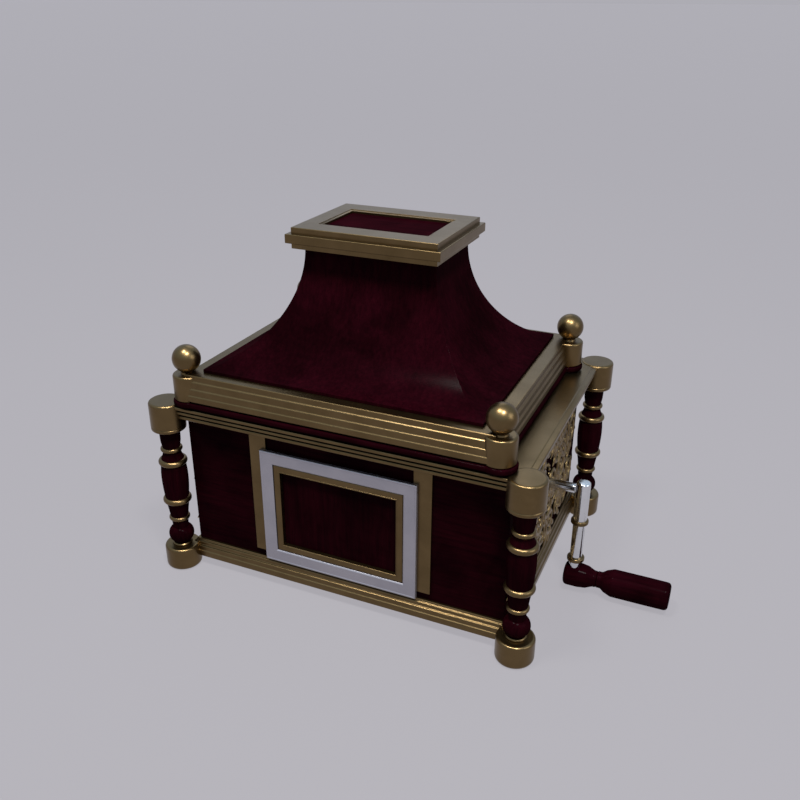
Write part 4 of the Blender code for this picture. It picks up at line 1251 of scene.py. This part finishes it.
scrollPlaces = {"pastLength": 0.020, "pastHeight": 0.004, "proud": 0.0016, "leftBoss": 0.0060}
scrollTreeMade = scrollTree()
bushMiddle = middleOf("shaft_bush")
for side, sign in (("left", -1), ("right", 1)):
    node = side + "_fretwork"
    low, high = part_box(node)
    middle = (low + high) / 2
    sizes = dict(scrollSizes)
    sizes["Length"] = high.y - low.y + scrollPlaces["pastLength"]
    sizes["Height"] = high.z - low.z + scrollPlaces["pastHeight"]
    sizes["Boss Y"] = bushMiddle.y - middle.y
    sizes["Boss Z"] = bushMiddle.z - middle.z
    sizes["Boss"] = scrollSizes["Boss"] if side == "right" else scrollPlaces["leftBoss"]
    mesh = bakedTree(scrollTreeMade, sizes, gilded)
    face = caseMiddleX + sign * (caseHalfX + scrollPlaces["proud"])
    mesh.transform(Matrix.Translation((face, middle.y, middle.z)))
    print(node, "scrollwork:", len(mesh.polygons), "faces")
    settle(node + "_gilded", mesh, gilded, "case", "brass", node, creaseAngle=50)
print("scrollwork made")


# finishes on the pieces that keep their shape
kept = (
    (lacquerAlong, "front_panel back_panel left_panel right_panel roof_cap_panel"),
    (lacquerUp, "plaque_panel"),
    (spruceLong, "bottom_board string_bridge barrel"),
    (spruceTall, "string_plank hammer_1 hammer_2 hammer_3 hammer_4"),
    (steel, "hammer_rail grip_spindle hinge_pin string_1 string_2 string_3 string_4"),
    (brass, "hinge_case_leaf hinge_lid_leaf left_bearing right_bearing crank_pinion barrel_gear"),
)
for finish, names in kept:
    for name in names.split():
        mesh = nodes[name].data
        mesh.materials.clear()
        mesh.materials.append(finish)


floorSizes = {"radius": 260.0, "steps": 48, "below": 0.0002}


def floorFinish(look):
    fixed = {"Metallic": 0.0, "Specular IOR Level": 0.05}
    fixed.update({"Emission Color": (*look["glow"], 1.0), "Emission Strength": 1.0})
    made, shader, place = finishOf("pale_floor", fixed)
    broad = noiseAt(place, 1.3, 3.0, 0.5)
    fine = noiseAt(place, 240.0, 2.0, 0.5)
    base = (broad * 0.6 + fine * 0.2).mixed(look["low"], look["high"])
    plug(shader, Base_Color=base, Roughness=0.72 + fine * 0.1)
    return made


floorLook = {
    "low": (0.038, 0.037, 0.039),
    "high": (0.044, 0.043, 0.045),
    "glow": (0.390, 0.377, 0.408),
}
radius = floorSizes["radius"]
mesh = bpy.data.meshes.new("floor")
ringPoints = []
for step in range(floorSizes["steps"]):
    angle = math.tau * step / floorSizes["steps"]
    ringPoints.append((radius * math.cos(angle), radius * math.sin(angle), -floorSizes["below"]))
mesh.from_pydata(ringPoints, [], [list(range(len(ringPoints)))])
mesh.materials.append(floorFinish(floorLook))
floor = bpy.data.objects.new("floor", mesh)
bpy.context.scene.collection.objects.link(floor)

world = bpy.data.worlds.new("studio")
bpy.context.scene.world = world
world.use_nodes = True
ambient = world.node_tree.nodes["Background"]
worldLook = {
    "horizon": (0.418, 0.412, 0.450),
    "above": (0.48, 0.60, 0.74),
    "low": 0.12,
    "high": 0.42,
}
sky = Wire(world.node_tree.nodes.new("ShaderNodeTexCoord").outputs["Generated"])
height = sky.node("ShaderNodeSeparateXYZ", {}, {"Vector": sky}, 2)
climb = height.between(worldLook["low"], worldLook["high"])
dome = climb.mixed(worldLook["horizon"], worldLook["above"])
world.node_tree.links.new(dome.socket, ambient.inputs["Color"])
bpy.context.scene.view_settings.view_transform = "Standard"

cameraSizes = {
    "place": (0.28912, -0.76946, 0.56753),
    "right": (0.916324, 0.400403, 0.005217),
    "up": (-0.174087, 0.386598, 0.905669),
    "ahead": (-0.360615, 0.830795, -0.423954),
    "lens": 38.45,
    "sensor": 36.0,
    "nearest": 0.01,
}
camera = bpy.data.objects.new("camera", bpy.data.cameras.new("camera"))
camera.data.lens = cameraSizes["lens"]
camera.data.sensor_width = cameraSizes["sensor"]
camera.data.clip_start = cameraSizes["nearest"]
right, up, ahead = (Vector(cameraSizes[k]) for k in ("right", "up", "ahead"))
turn = Matrix((right, up, -ahead)).transposed().to_4x4()
camera.matrix_world = Matrix.Translation(cameraSizes["place"]) @ turn
bpy.context.scene.collection.objects.link(camera)
bpy.context.scene.camera = camera

lights = {
    "key": {"place": (0.46, -0.68, 1.66), "size": 0.26, "power": 26.0, "colour": (1.0, 0.98, 0.95)},
    "edge": {"place": (-0.28, -0.55, 1.70), "size": 0.34, "power": 20.0, "colour": (1.0, 0.98, 0.94)},
    "fill": {"place": (1.5, -0.2, 0.9), "size": 0.9, "power": 5.0, "colour": (0.96, 0.97, 1.0)},
    "back": {"place": (-0.6, 1.5, 1.6), "size": 1.2, "power": 3.0, "colour": (1.0, 1.0, 1.0)},
}
aim = Vector((-0.05, 0.0, 0.17))  # the middle of the case, which every lamp faces
for name, light in lights.items():
    lamp = bpy.data.lights.new(name, "AREA")
    lamp.shape = "DISK"
    lamp.size = light["size"]
    lamp.energy = light["power"]
    lamp.color = light["colour"]
    holder = bpy.data.objects.new(name, lamp)
    holder.location = light["place"]
    holder.rotation_euler = (aim - Vector(light["place"])).to_track_quat("-Z", "Y").to_euler()
    bpy.context.scene.collection.objects.link(holder)
print("stage and lights set")
